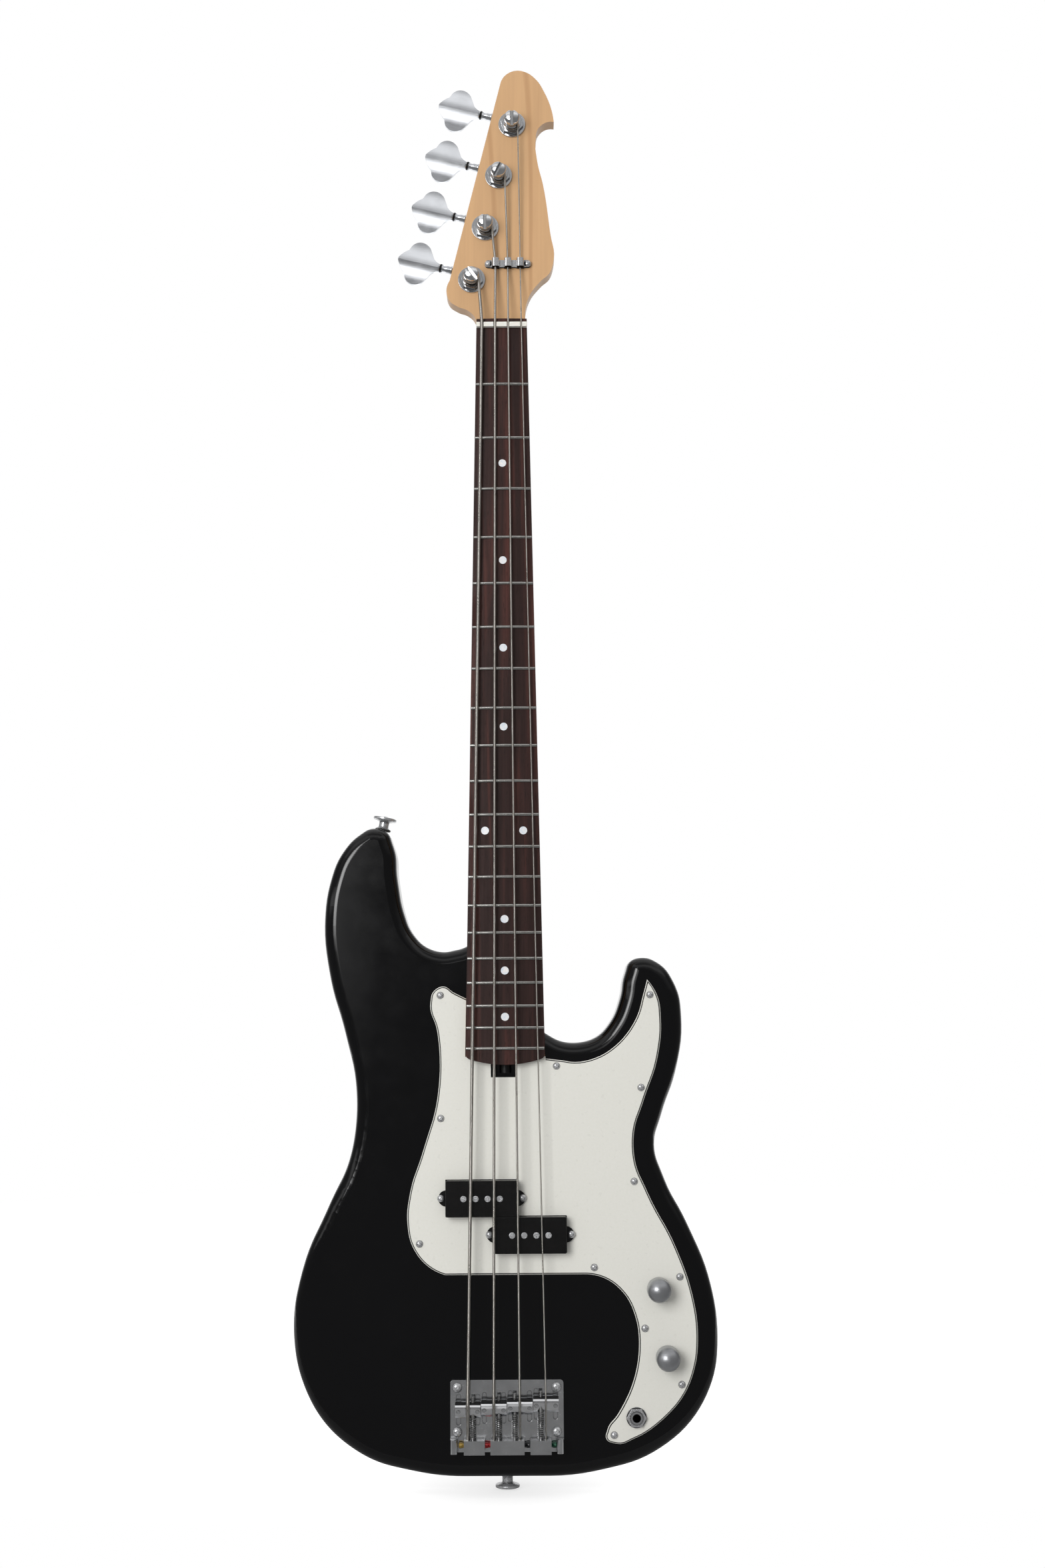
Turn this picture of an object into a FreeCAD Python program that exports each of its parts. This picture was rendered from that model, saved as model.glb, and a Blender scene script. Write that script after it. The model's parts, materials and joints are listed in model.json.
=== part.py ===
import FreeCAD, Part
import math
import os
import re

import Sketcher
from FreeCAD import Placement, Rotation, Vector

# Electric bass guitar, standing upright in its own frame, in millimetres.
# X runs to the treble side, Y to the back and Z up the neck.
# The origin is the seat of the tail strap button: centre line, middle of the thickness, end of the body.
# A "level" is a height towards the front, so level = -Y.

SIZES = {
    # Strings and layout
    "scale_length": 864.0,
    "bridge_inset": 56.0,
    "nut_spacing": 10.85,
    "bridge_spacing": 20.0,
    "gauge_e": 2.67,
    "gauge_a": 2.16,
    "gauge_d": 1.65,
    "gauge_g": 1.14,
    "break_e": 0.8,
    "break_a": 2.0,
    "break_d": 3.3,
    "break_g": 4.9,
    "nut_action": 1.5,
    "bridge_action": 5.4,
    "wind_gap": 0.45,
    "wind_clearance": 0.15,
    "bend_radius": 5.0,
    "ball_radius": 2.3,
    "ball_length": 8.6,
    "ball_margin": 0.1,
    # Shared clearances
    "cut_overrun": 5.0,
    "running_gap": 0.05,
    "seat_gap": 0.2,
    # Body
    "body_length": 505.0,
    "body_thickness": 44.4,
    "bass_side": 168.0,
    "treble_side": 165.0,
    "edge_round": 10.0,
    "contour_x": 112.0,
    "contour_z": 262.0,
    "contour_radius": 340.0,
    "contour_reach": 130.0,
    "pocket_depth": 15.9,
    "pocket_gap": 0.25,
    "tongue_length": 85.8,
    "tongue_inset": 1.0,
    "tongue_round": 7.0,
    "control_depth": 35.0,
    "control_radius": 13.0,
    "channel_radius": 5.0,
    "channel_depth": 15.0,
    "pickup_cavity_depth": 20.0,
    # Neck and fretboard
    "neck_rise": 9.5,
    "nut_width": 42.0,
    "heel_width": 63.0,
    "board_tail": 12.8,
    "board_thickness": 6.0,
    "board_radius": 241.0,
    "board_lead": 8.0,
    "board_bow": 5.5,
    "board_corner": 4.5,
    "board_overhang": 6.8,
    "shaft_depth_nut": 15.0,
    "shaft_depth_middle": 17.0,
    "shaft_depth_heel": 18.6,
    "heel_round": 9.0,
    "head_length": 230.5,
    "head_reach": 45.5,
    "head_drop": 8.0,
    "head_thickness": 13.5,
    "head_root": 4.0,
    "fret_width": 2.7,
    "fret_height": 1.2,
    "fret_inset": 0.5,
    "tang_width": 0.6,
    "tang_depth": 1.8,
    "dot_radius": 3.15,
    "dot_depth": 2.0,
    "dot_spread": 15.3,
    "nut_thickness": 4.1,
    "nut_seat": 3.0,
    "nut_height": 3.2,
    "nut_slot_gap": 0.12,
    # Truss rod
    "rod_radius": 3.0,
    "rod_drop": 6.5,
    "rod_gap": 0.1,
    "rod_stop": 24.0,
    "rod_nut_radius": 4.6,
    "rod_nut_length": 13.0,
    "rod_key_depth": 3.5,
    "rod_key_radius": 2.4,
    "rod_slot_width": 20.6,
    "rod_slot_shift": 1.2,
    "rod_slot_length": 16.6,
    # Neck plate and its screws
    "neck_plate_width": 51.0,
    "neck_plate_length": 64.0,
    "neck_plate_thickness": 2.0,
    "neck_plate_round": 6.0,
    "neck_screw_inset": 6.5,
    "neck_screw_length": 40.0,
    "neck_screw_radius": 2.3,
    "neck_screw_head": 4.4,
    "neck_screw_dome": 2.2,
    # Pickguard
    "guard_thickness": 2.5,
    "guard_bevel": 1.5,
    "guard_gap": 0.4,
    # Small round-headed screws
    "trim_screw_head": 2.9,
    "trim_screw_dome": 1.6,
    "trim_screw_radius": 1.4,
    "trim_screw_length": 12.0,
    "trim_hole": 1.6,
    # Pickup halves
    "pickup_width": 56.5,
    "pickup_height": 28.0,
    "pickup_mid_z": 198.1,
    "pickup_shift": 18.9,
    "pickup_rise": 8.6,
    "pickup_depth": 12.0,
    "pickup_wall": 1.6,
    "pickup_round": 1.2,
    "ear_radius": 6.2,
    "ear_offset": 32.0,
    "ear_reach": 34.1,
    "ear_thickness": 2.0,
    "pole_radius": 2.5,
    "pole_pitch": 9.45,
    "pole_rise": 0.5,
    "pole_gap": 0.1,
    "coil_width": 46.0,
    "coil_height": 14.0,
    "flange_thickness": 2.0,
    "flange_margin": 2.4,
    # Controls
    "pot_radius": 12.0,
    "pot_height": 9.0,
    "pot_bush_radius": 3.6,
    "pot_bush_rise": 5.0,
    "pot_shaft_radius": 3.0,
    "pot_shaft_rise": 13.0,
    "pot_shaft_depth": 6.0,
    "panel_nut_radius": 6.3,
    "panel_nut_height": 2.2,
    "panel_washer_radius": 6.8,
    "panel_washer_height": 0.8,
    "knob_radius": 9.2,
    "knob_height": 18.5,
    "knob_dome": 7.0,
    "knob_lift": 0.4,
    "knob_hollow_radius": 7.3,
    "knob_hollow_depth": 6.0,
    "knob_foot_radius": 8.6,
    "jack_bore": 3.25,
    "jack_bush_radius": 4.7,
    "jack_bush_rise": 3.6,
    "jack_barrel_radius": 6.4,
    "jack_barrel_length": 26.0,
    "jack_nut_radius": 7.75,
    "jack_nut_height": 2.4,
    "jack_washer_radius": 7.9,
    "jack_washer_height": 0.6,
    "lead_radius": 0.8,
    "lead_bend": 3.0,
    "lead_dip": 4.0,
    "jack_end": 1.5,
    "capacitor_radius": 4.2,
    "capacitor_thickness": 2.6,
    # Bridge
    "bridge_width": 87.5,
    "bridge_front": 18.1,
    "bridge_back": 35.8,
    "plate_thickness": 2.0,
    "plate_round": 2.6,
    "wall_back": 25.3,
    "wall_thickness": 2.2,
    "wall_height": 11.5,
    "roof_thickness": 2.0,
    "post_end_radius": 2.8,
    "screw_level": 6.4,
    "ball_level": 3.2,
    "string_hole_radius": 2.3,
    "bridge_screw_radius": 2.0,
    "bridge_screw_head": 3.8,
    "bridge_screw_dome": 1.8,
    "bridge_screw_length": 26.0,
    "bridge_screw_x": 38.4,
    "bridge_screw_front": 12.5,
    "bridge_screw_back": 20.7,
    "bridge_hole_gap": 0.2,
    "saddle_width": 19.6,
    "saddle_length": 11.3,
    "saddle_lift": 1.6,
    "saddle_lead": 1.3,
    "saddle_notch": 0.45,
    "grub_offset": 7.4,
    "grub_radius": 1.6,
    "groove_width": 3.8,
    "groove_depth": 0.9,
    "groove_length": 20.0,
    "adjuster_radius": 1.5,
    "adjuster_offset": 3.9,
    "adjuster_tip": 4.5,
    "adjuster_head_radius": 2.2,
    "adjuster_head_length": 2.2,
    "adjuster_slot": 0.8,
    "spring_radius": 2.15,
    "spring_wire": 0.7,
    "spring_end_gap": 0.3,
    "spring_pitch": 1.35,
    # Tuners
    "post_first_x": 25.0,
    "post_first_z": 44.8,
    "post_pitch": 47.1,
    "post_lean": 14.1,
    "post_cap_radius": 6.4,
    "post_waist_radius": 4.2,
    "post_shank_radius": 5.6,
    "post_pin_radius": 4.0,
    "post_top": 16.8,
    "post_base": 5.0,
    "post_flare": 0.6,
    "post_dome": 3.4,
    "post_cap_height": 1.6,
    "post_cap_slope": 0.5,
    "post_slot_width": 2.9,
    "post_slot_depth": 4.4,
    "bush_wall": 1.6,
    "bush_gap": 0.15,
    "bush_flat_radius": 8.4,
    "bush_head_height": 2.6,
    "bush_crown": 0.8,
    "bush_stop": 1.0,
    "washer_radius": 11.4,
    "washer_thickness": 1.3,
    "tuner_plate_thickness": 1.6,
    "tuner_plate_length": 44.0,
    "tuner_plate_width": 27.0,
    "tuner_plate_shift": 5.0,
    "tuner_plate_skew": 1.5,
    "tuner_plate_round": 4.0,
    "tuner_screw_inset": 3.6,
    "tuner_screw_length": 10.0,
    "tuner_screw_radius": 1.3,
    "tuner_screw_head": 2.5,
    "tuner_screw_dome": 1.4,
    "tuner_screw_hole": 1.5,
    "gear_module": 0.8,
    "gear_thickness": 5.0,
    "gear_lift": 1.9,
    "worm_pitch_radius": 3.5,
    "worm_shaft_radius": 2.4,
    "worm_end": 11.0,
    "worm_rise": 0.6,
    "worm_root": 0.9,
    "worm_margin": 0.3,
    "tooth_rise": 0.7,
    "tooth_root": 0.9,
    "ear_inner": 7.4,
    "bracket_thickness": 2.2,
    "bracket_width": 9.0,
    "bracket_margin": 2.0,
    "post_nut_radius": 5.4,
    "post_nut_height": 2.0,
    "collar_start": 20.5,
    "collar_radius": 3.2,
    "collar_waist": 2.7,
    "collar_length": 10.4,
    "key_washer_radius": 3.8,
    "key_washer_length": 1.0,
    "key_length": 35.6,
    "key_width": 38.0,
    "key_thickness": 2.6,
    "key_fold": 2.6,
    "key_neck": 3.3,
    # String retainer
    "retainer_z": 58.0,
    "retainer_x": 5.4,
    "retainer_pitch": 10.3,
    "retainer_length": 39.0,
    "retainer_width": 6.4,
    "retainer_base": 2.2,
    "hook_width": 6.2,
    "hook_length": 7.4,
    "hook_height": 7.0,
    "hook_gap": 0.65,
    "hook_floor": 0.3,
    "hook_round": 2.0,
    "retainer_screw": 16.5,
    # Strap buttons
    "button_flange_radius": 9.4,
    "button_flange_height": 2.0,
    "button_shaft_radius": 4.05,
    "button_height": 9.2,
    "button_cone_height": 1.4,
    "button_foot_radius": 5.6,
    "button_hole": 2.3,
    "felt_radius": 6.4,
    "felt_thickness": 1.6,
    "felt_lift": 0.12,
    "horn_button_lean": 11.0,
    "button_screw_length": 28.0,
    "button_screw_radius": 2.0,
    "button_screw_head": 3.4,
    "button_screw_dome": 1.2,
}
STRINGS = ("e", "a", "d", "g")
FRET_COUNT = 20
GEAR_TEETH = 20
WORM_TURNS = 5
SEMITONES = 12
TOOTH_SHARE = 0.36
THREAD_SHARE = 0.34
FLANK_ANGLE = 20
CONTOUR_LEAN = 14
CROSS_SHARE = 0.55
CROSS_WIDTH_SHARE = 0.14
CROSS_DEPTH_SHARE = 0.6
DOT_FRETS = (3, 5, 7, 9, 15, 17, 19)
DOUBLE_DOT_FRET = 12

# Outlines, as shares of the sizes that they follow: across by the side's reach, up by the length.
# The end of the neck stands at the joint's share, whatever the length of the horns above it.
BODY_SHARES = (
    (0.000, 0.000), (0.403, 0.006), (0.687, 0.034), (0.866, 0.080), (0.970, 0.140), (1.000, 0.220),
    (0.961, 0.299), (0.858, 0.382), (0.761, 0.444), (0.712, 0.499), (0.752, 0.549), (0.817, 0.609),
    (0.854, 0.685), (0.827, 0.746), (0.755, 0.780), (0.673, 0.791), (0.612, 0.786), (0.579, 0.763),
    (0.558, 0.728), (0.515, 0.693), (0.442, 0.667), (0.346, 0.658), (0.264, 0.661), (0.199, 0.672),
    (0.024, 0.737), (-0.085, 0.795), (-0.150, 0.8115), (-0.225, 0.8055), (-0.298, 0.802), (-0.376, 0.810),
    (-0.444, 0.833), (-0.485, 0.867), (-0.512, 0.915), (-0.533, 0.970), (-0.571, 0.995), (-0.631, 1.000),
    (-0.708, 0.987), (-0.786, 0.957), (-0.841, 0.908), (-0.862, 0.844), (-0.831, 0.759), (-0.760, 0.675),
    (-0.710, 0.600), (-0.705, 0.545), (-0.735, 0.481), (-0.836, 0.406), (-0.944, 0.325), (-1.000, 0.224),
    (-0.961, 0.143), (-0.851, 0.078), (-0.667, 0.031), (-0.393, 0.006),
)
GUARD_BASS_SHARES = (
    (-0.235, 0.736), (-0.300, 0.7467), (-0.340, 0.7385), (-0.353, 0.7215), (-0.320, 0.675), (-0.309, 0.636),
    (-0.321, 0.571), (-0.390, 0.489), (-0.446, 0.431), (-0.461, 0.387), (-0.435, 0.346), (-0.369, 0.318),
    (-0.284, 0.3035),
)
GUARD_TREBLE_SHARES = (
    (0.366, 0.3035), (0.467, 0.297), (0.558, 0.273), (0.612, 0.234), (0.622, 0.190), (0.596, 0.145),
    (0.521, 0.095), (0.470, 0.072), (0.464, 0.058), (0.508, 0.051), (0.608, 0.060), (0.730, 0.086),
    (0.836, 0.125), (0.889, 0.170), (0.901, 0.218), (0.869, 0.284), (0.803, 0.344), (0.675, 0.426),
    (0.616, 0.475), (0.613, 0.519), (0.662, 0.569), (0.727, 0.629), (0.750, 0.687), (0.730, 0.734),
    (0.686, 0.756),
)
GUARD_CUTAWAY_SHARES = (
    (0.686, 0.756), (0.670, 0.737), (0.633, 0.697), (0.550, 0.659), (0.454, 0.637), (0.339, 0.628),
    (0.262, 0.631),
)
GUARD_SCREW_SHARES = (
    (-0.306, 0.733), (-0.304, 0.542), (-0.403, 0.351), (0.245, 0.622), (0.698, 0.732), (0.649, 0.588),
    (0.610, 0.444), (0.416, 0.314), (0.820, 0.299), (0.652, 0.222), (0.821, 0.138), (0.501, 0.064),
)
JOINT_SHARE = 0.637907
VOLUME_SHARE = (0.718, 0.281)
TONE_SHARE = (0.755, 0.179)
JACK_SHARE = (0.606, 0.0897)
HORN_BUTTON_SHARE = (-0.592, 0.9985)
HEAD_TREBLE_SHARES = (
    (0.444, 0.091), (0.532, 0.141), (0.710, 0.186), (0.892, 0.221), (0.954, 0.258), (0.892, 0.389),
    (0.782, 0.551), (0.670, 0.651), (0.642, 0.716), (0.710, 0.777), (0.820, 0.795), (0.987, 0.799),
)
HEAD_TIP_SHARES = (
    (0.987, 0.799), (0.934, 0.855), (0.824, 0.911), (0.673, 0.962), (0.495, 0.991), (0.317, 1.000),
    (0.121, 0.987), (0.004, 0.956),
)
HEAD_BASS_SHARES = (
    (-0.954, 0.192), (-1.009, 0.143), (-0.954, 0.115), (-0.802, 0.093), (-0.626, 0.079), (-0.519, 0.061),
)
# Half outline of a tuner key: along the key by its length, across by half its width.
KEY_SHARES = (
    (0.000, 0.174), (0.145, 0.320), (0.235, 0.580), (0.345, 0.860), (0.500, 0.990), (0.660, 0.930),
    (0.765, 0.710),
)
KEY_TIP_SHARES = ((0.800, 0.520), (0.940, 0.250), (1.000, 0.000))
# Side of a saddle: back along it by its length, up by its height.
SADDLE_SHARES = (
    (0.00, 0.06), (0.00, 0.84), (0.06, 1.00), (0.19, 1.00), (0.25, 0.76), (0.40, 0.73), (0.78, 0.56),
    (1.00, 0.36), (1.00, 0.14), (0.88, 0.00), (0.06, 0.00),
)
TAB_SHARES = ((-0.756, -0.389), (-0.290, 0.306), (0.411, 0.779))
SLOT_ANGLES = {"e": 128, "a": 90, "d": 62, "g": 90}
END_ROUND_SHARE = 0.95
GRUB_SHARE = 0.55
GRUB_TOP_SHARE = 0.62

DOC = FreeCAD.newDocument("electric_bass")
SHEET = DOC.addObject("Spreadsheet::Sheet", "Sizes")
for row, (alias, number) in enumerate(SIZES.items(), start=1):
    SHEET.set(f"A{row}", alias)
    SHEET.set(f"B{row}", str(number))
    SHEET.setAlias(f"B{row}", alias)
DOC.recompute()

PARTS = {}
FRONTWARD = Rotation(Vector(1, 0, 0), 90)
BACKWARD = Rotation(Vector(1, 0, 0), -90)
UP = Vector(0, 0, 1)
KEYWARD = Rotation(Vector(0, -1, 0), Vector(0, 0, 1), Vector(-1, 0, 0), "ZXY")


# Expressions

def value(text):
    """The number that an expression of sheet aliases stands for."""
    return float(SHEET.evalExpression(str(text)))


def bound(text):
    """The same expression as another object has to write it."""
    return re.sub(r"[a-z_]+", lambda word: "Sizes." * (word.group() in SIZES) + word.group(), str(text))


def bind(item, name, text):
    item.setExpression(name, bound(text))


BODY_FRONT = "(body_thickness / 2)"
GUARD_TOP = "(body_thickness / 2 + guard_thickness)"
BOARD_TOP = "(body_thickness / 2 + neck_rise)"
BOARD_BOTTOM = "(body_thickness / 2 + neck_rise - board_thickness)"
POCKET_FLOOR = "(body_thickness / 2 - pocket_depth)"
NUT_Z = "(bridge_inset + scale_length)"
BOARD_END = f"(bridge_inset + scale_length * {2 ** (-FRET_COUNT / SEMITONES)} - board_tail)"
HEEL_END = f"({BOARD_END} + board_overhang)"
TONGUE_TOP = f"({BOARD_END} + tongue_length)"
HEAD_FACE = f"({BOARD_TOP} - head_drop)"
HEAD_BACK = f"({HEAD_FACE} - head_thickness)"
PLATE_TOP = "(body_thickness / 2 + plate_thickness)"
WALL_FRONT = "(bridge_inset - wall_back)"
GEAR_FRONT = "(-head_thickness - tuner_plate_thickness - gear_lift)"
WORM_OFFSET = f"(gear_module * {GEAR_TEETH / 2} + worm_pitch_radius)"
WORM_LEVEL = f"({HEAD_BACK} - tuner_plate_thickness - gear_lift - gear_thickness / 2)"


def half_width(height):
    """Half the neck's width at a height up the neck."""
    share = f"(({height}) - {BOARD_END}) / ({NUT_Z} - {BOARD_END})"
    return f"((heel_width + (nut_width - heel_width) * {share}) / 2)"


def on_body(share):
    """Expressions for the place of a share on the body's face."""
    side = "treble_side" if share[0] > 0 else "bass_side"
    across = f"({share[0]} * {side})"
    if share[1] <= JOINT_SHARE:
        return across, f"({share[1] / JOINT_SHARE} * {HEEL_END})"
    above = (share[1] - JOINT_SHARE) / (1 - JOINT_SHARE)
    return across, f"({HEEL_END} + {above} * (body_length - {HEEL_END}))"


def on_head(share):
    """Expressions for the place of a share on the headstock's face."""
    return f"({share[0]} * head_reach)", f"({NUT_Z} + {share[1]} * head_length)"


def numbers(place):
    return Vector(value(place[0]), value(place[1]), 0)


# Curves

def arc_between(start, tangent, end):
    """The arc, or line, that leaves start along tangent and ends at end."""
    chord = end - start
    along = Vector(chord).normalize()
    side = tangent - along * tangent.dot(along)
    bend = math.atan2(side.Length, tangent.dot(along))
    if bend < math.radians(0.02):
        return Part.LineSegment(start, end)
    bulge = Vector(side).normalize() * (chord.Length / 2 * math.tan(bend / 2))
    return Part.Arc(start, start + chord / 2 + bulge, end)


def biarc(start, leave, end, arrive):
    """Two tangent arcs between two points with given directions."""
    chord = end - start
    total = leave + arrive
    spread = 2 * (1 - leave.dot(arrive))
    reach = chord.dot(total)
    if spread < 1e-9:
        step = chord.dot(chord) / (4 * chord.dot(arrive))
    else:
        step = (math.sqrt(reach ** 2 + spread * chord.dot(chord)) - reach) / spread
    if abs(chord.cross(leave).Length) < 1e-7 * chord.Length and leave.dot(arrive) > 1 - 1e-9:
        return [Part.LineSegment(start, end)]
    knee = (start + leave * step + end - arrive * step) / 2
    straight = Vector(end - arrive * step - start - leave * step).normalize()
    return [arc_between(start, leave, knee), arc_between(knee, straight, end)]


def directions(points, closed):
    """Tangents at the points, each along the circle through its neighbours."""
    found = []
    count = len(points)
    for index in range(count):
        before = points[index] - points[index - 1]
        after = points[(index + 1) % count] - points[index]
        along = before / before.dot(before) + after / after.dot(after)
        found.append(along.normalize())
    if not closed:
        for end, beside, next_one in ((0, 1, 1), (-1, -2, -2)):
            chord = Vector(points[next_one] - points[end]).normalize()
            found[end] = chord * (2 * chord.dot(found[beside])) - found[beside]
    return found


def smooth(points, closed=False):
    """Tangent arcs through the points."""
    along = directions(points, closed)
    curves = []
    for index in range(len(points) if closed else len(points) - 1):
        after = (index + 1) % len(points)
        curves += biarc(points[index], along[index], points[after], along[after])
    return curves


def run(points):
    """A straight run through two points, or a smooth one through more."""
    if len(points) == 2:
        return [Part.LineSegment(points[0], points[1])]
    return smooth(points)


def inward(along):
    """The side that a loop drawn to the left encloses."""
    return Vector(-along.y, along.x, 0)


def corner_step(first, first_inset, second, second_inset):
    """The step that moves a corner in from its two sides, given by their inward directions."""
    lean = first.dot(second)
    if 1 - lean ** 2 < 1e-6:
        return first * first_inset
    share = first * (first_inset - second_inset * lean) + second * (second_inset - first_inset * lean)
    return share / (1 - lean ** 2)


def inset_runs(runs):
    """Curves of a closed loop of runs, each moved in by its own inset."""
    ways = []
    for points, inset in runs:
        if len(points) == 2:
            ways.append([Vector(points[1] - points[0]).normalize()] * 2)
        else:
            ways.append(directions(points, False))
    curves = []
    for index, (points, inset) in enumerate(runs):
        along, before = ways[index], ways[index - 1]
        after = ways[(index + 1) % len(runs)]
        next_inset = runs[(index + 1) % len(runs)][1]
        steps = [inward(way) * inset for way in along]
        steps[0] = corner_step(inward(before[-1]), runs[index - 1][1], inward(along[0]), inset)
        steps[-1] = corner_step(inward(along[-1]), inset, inward(after[0]), next_inset)
        places = [point + step for point, step in zip(points, steps)]
        if len(places) == 2:
            curves += run(places)
            continue
        for step in range(len(places) - 1):
            curves += biarc(places[step], along[step], places[step + 1], along[step + 1])
    return curves


# Features

def new_body(label):
    item = DOC.addObject("PartDesign::Body", label)
    item.Label = label
    return item


def sketch(owner, role, offset="0"):
    item = owner.newObject("Sketcher::SketchObject", "sketch")
    plane = next(entry for entry in owner.Origin.OriginFeatures if entry.Role == role)
    item.AttachmentSupport = [(plane, "")]
    item.MapMode = "FlatFace"
    bind(item, "AttachmentOffset.Base.z", offset)
    return item


def pin(item, geometry, point, place):
    """Hold one point of a sketch at a pair of expressions."""
    for kind, text in zip(("DistanceX", "DistanceY"), place):
        number = item.addConstraint(Sketcher.Constraint(kind, -1, 1, geometry, point, value(text)))
        bind(item, f"Constraints[{number}]", text)


def polygon(item, corners):
    places = [numbers(corner) for corner in corners]
    first = item.GeometryCount
    count = len(corners)
    for index in range(count):
        item.addGeometry(Part.LineSegment(places[index], places[(index + 1) % count]), False)
    for index in range(count):
        after = first + (index + 1) % count
        item.addConstraint(Sketcher.Constraint("Coincident", first + index, 2, after, 1))
        pin(item, first + index, 1, corners[index])
    return item


def rectangle(item, low, high):
    return polygon(item, [low, (high[0], low[1]), high, (low[0], high[1])])


def circle(item, centre, radius):
    number = item.addGeometry(Part.Circle(numbers(centre), UP, value(radius)), False)
    pin(item, number, 3, centre)
    size = item.addConstraint(Sketcher.Constraint("Radius", number, value(radius)))
    bind(item, f"Constraints[{size}]", radius)
    return item


def capsule(item, first, second, radius):
    """A slot outline with round ends about two points."""
    ends = [numbers(first), numbers(second)]
    along = Vector(ends[1] - ends[0]).normalize()
    reach = value(radius)
    side = Vector(-along.y, along.x, 0) * reach
    low, high = ends
    item.addGeometry(Part.LineSegment(low - side, high - side), False)
    item.addGeometry(Part.Arc(high - side, high + along * reach, high + side), False)
    item.addGeometry(Part.LineSegment(high + side, low + side), False)
    item.addGeometry(Part.Arc(low + side, low - along * reach, low - side), False)
    return item


def curve_loop(item, curves):
    for curve in curves:
        item.addGeometry(curve, False)
    return item


def feature(owner, kind, profile, length=None, back=False, both=False):
    item = owner.newObject("PartDesign::" + kind, kind.lower())
    item.Profile = profile
    if length is not None:
        bind(item, "Length", length)
    item.Reversed = back
    if both:
        item.SideType = "Symmetric"
    return item


def pad(owner, profile, length, **settings):
    return feature(owner, "Pad", profile, length, **settings)


def pocket(owner, profile, length, **settings):
    return feature(owner, "Pocket", profile, length, **settings)


def turn(owner, profile, kind="Revolution"):
    item = feature(owner, kind, profile)
    item.ReferenceAxis = (profile, ["V_Axis"])
    item.Angle = 360
    return item


def dress(owner, kind, test, size):
    """Fillet or chamfer the edges of the body's last feature that pass the test."""
    DOC.recompute()
    base = owner.Tip
    names = [f"Edge{number}" for number, edge in enumerate(base.Shape.Edges, start=1) if test(edge)]
    item = owner.newObject("PartDesign::" + kind, kind.lower())
    item.Base = (base, names)
    bind(item, "Radius" if kind == "Fillet" else "Size", size)
    return item


def middle(edge):
    return edge.valueAt((edge.FirstParameter + edge.LastParameter) / 2)


def at_level(edge, level):
    """True where the whole edge lies in one plane across the front-back direction."""
    box = edge.BoundBox
    return abs(box.YMin + value(level)) < 1e-4 and abs(box.YMax + value(level)) < 1e-4


def runs_along(edge, axis):
    start, end = edge.Vertexes[0].Point, edge.Vertexes[-1].Point
    return edge.Curve.TypeId == "Part::GeomLine" and (end - start).cross(axis).Length < 1e-6


def place(item, across, level, height, turned=Rotation()):
    """Bind an object's place to expressions, with the level counted towards the front."""
    item.Placement = Placement(Vector(), turned)
    bind(item, "Placement.Base.x", across)
    bind(item, "Placement.Base.y", f"-({level})")
    bind(item, "Placement.Base.z", height)
    return item


def spot(across, level, height, turned=FRONTWARD):
    """A fixed placement from expressions."""
    return Placement(Vector(value(across), -value(level), value(height)), turned)


def turned_body(label, profile):
    """A round piece about its own Z axis, from radius and height pairs."""
    owner = new_body(label)
    turn(owner, polygon(sketch(owner, "XZ_Plane"), profile))
    return owner


def prism(label, corners, base, length):
    """A flat piece with its outline facing the front."""
    owner = new_body(label)
    pad(owner, polygon(sketch(owner, "XZ_Plane", base), corners), length)
    return owner


def shape_part(label, shape):
    """A piece whose shape is worked out below from the sheet's sizes."""
    item = DOC.addObject("Part::Feature", label)
    item.Label = label
    item.Shape = shape
    PARTS[label] = item
    return item


def copies(label, master, places):
    """Separate copies of one piece, kept together under one name."""
    DOC.recompute()
    solids = []
    for where in places:
        copy = master.Shape.copy()
        copy.Placement = where.multiply(copy.Placement)
        solids.append(copy)
    return shape_part(label, Part.makeCompound(solids))


def keep(label, item):
    item.Label = label
    PARTS[label] = item
    return item


def boolean(kind, label, base, tool):
    item = DOC.addObject("Part::" + kind, label)
    item.Base = base
    item.Tool = tool
    return item


def tube(curves, radius):
    """A round rod along a smooth path."""
    path = Part.Wire([curve.toShape() for curve in curves])
    start = path.Edges[0].valueAt(path.Edges[0].FirstParameter)
    along = path.Edges[0].tangentAt(path.Edges[0].FirstParameter)
    section = Part.Wire([Part.Circle(start, along, radius).toShape()])
    return path.makePipeShell([section], True, False)


# Body

def neck_outline(low, high, margin):
    """The neck's tapered outline between two heights, with a margin at its sides."""
    low_half = f"({half_width(low)} + {margin})"
    high_half = f"({half_width(high)} + {margin})"
    return [(f"-{low_half}", low), (low_half, low), (high_half, high), (f"-{high_half}", high)]


def pickup_outline(margin):
    """The joined outline of the two pickup halves, with a margin all round."""
    left = f"(-pickup_shift - pickup_width / 2 - {margin})"
    right = f"(pickup_shift + pickup_width / 2 + {margin})"
    inner_left = f"(pickup_shift - pickup_width / 2 - {margin})"
    inner_right = f"(pickup_width / 2 - pickup_shift + {margin})"
    top = f"(pickup_mid_z + pickup_height + {margin})"
    bottom = f"(pickup_mid_z - pickup_height - {margin})"
    upper = f"(pickup_mid_z + {margin})"
    lower = f"(pickup_mid_z - {margin})"
    return [
        (left, lower), (inner_left, lower), (inner_left, bottom), (right, bottom),
        (right, upper), (inner_right, upper), (inner_right, top), (left, top),
    ]


def lead_start():
    """Where the pickup's lead leaves the treble half."""
    return "(pickup_shift + coil_width / 2)", "(pickup_mid_z - pickup_height / 2)"


def rod_slot():
    """Low and high corners of the adjuster slot at the end of the neck."""
    low = ("(-rod_slot_width / 2 - rod_slot_shift)", f"({HEEL_END} - rod_slot_length)")
    return low, ("(rod_slot_width / 2 - rod_slot_shift)", HEEL_END)


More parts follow.
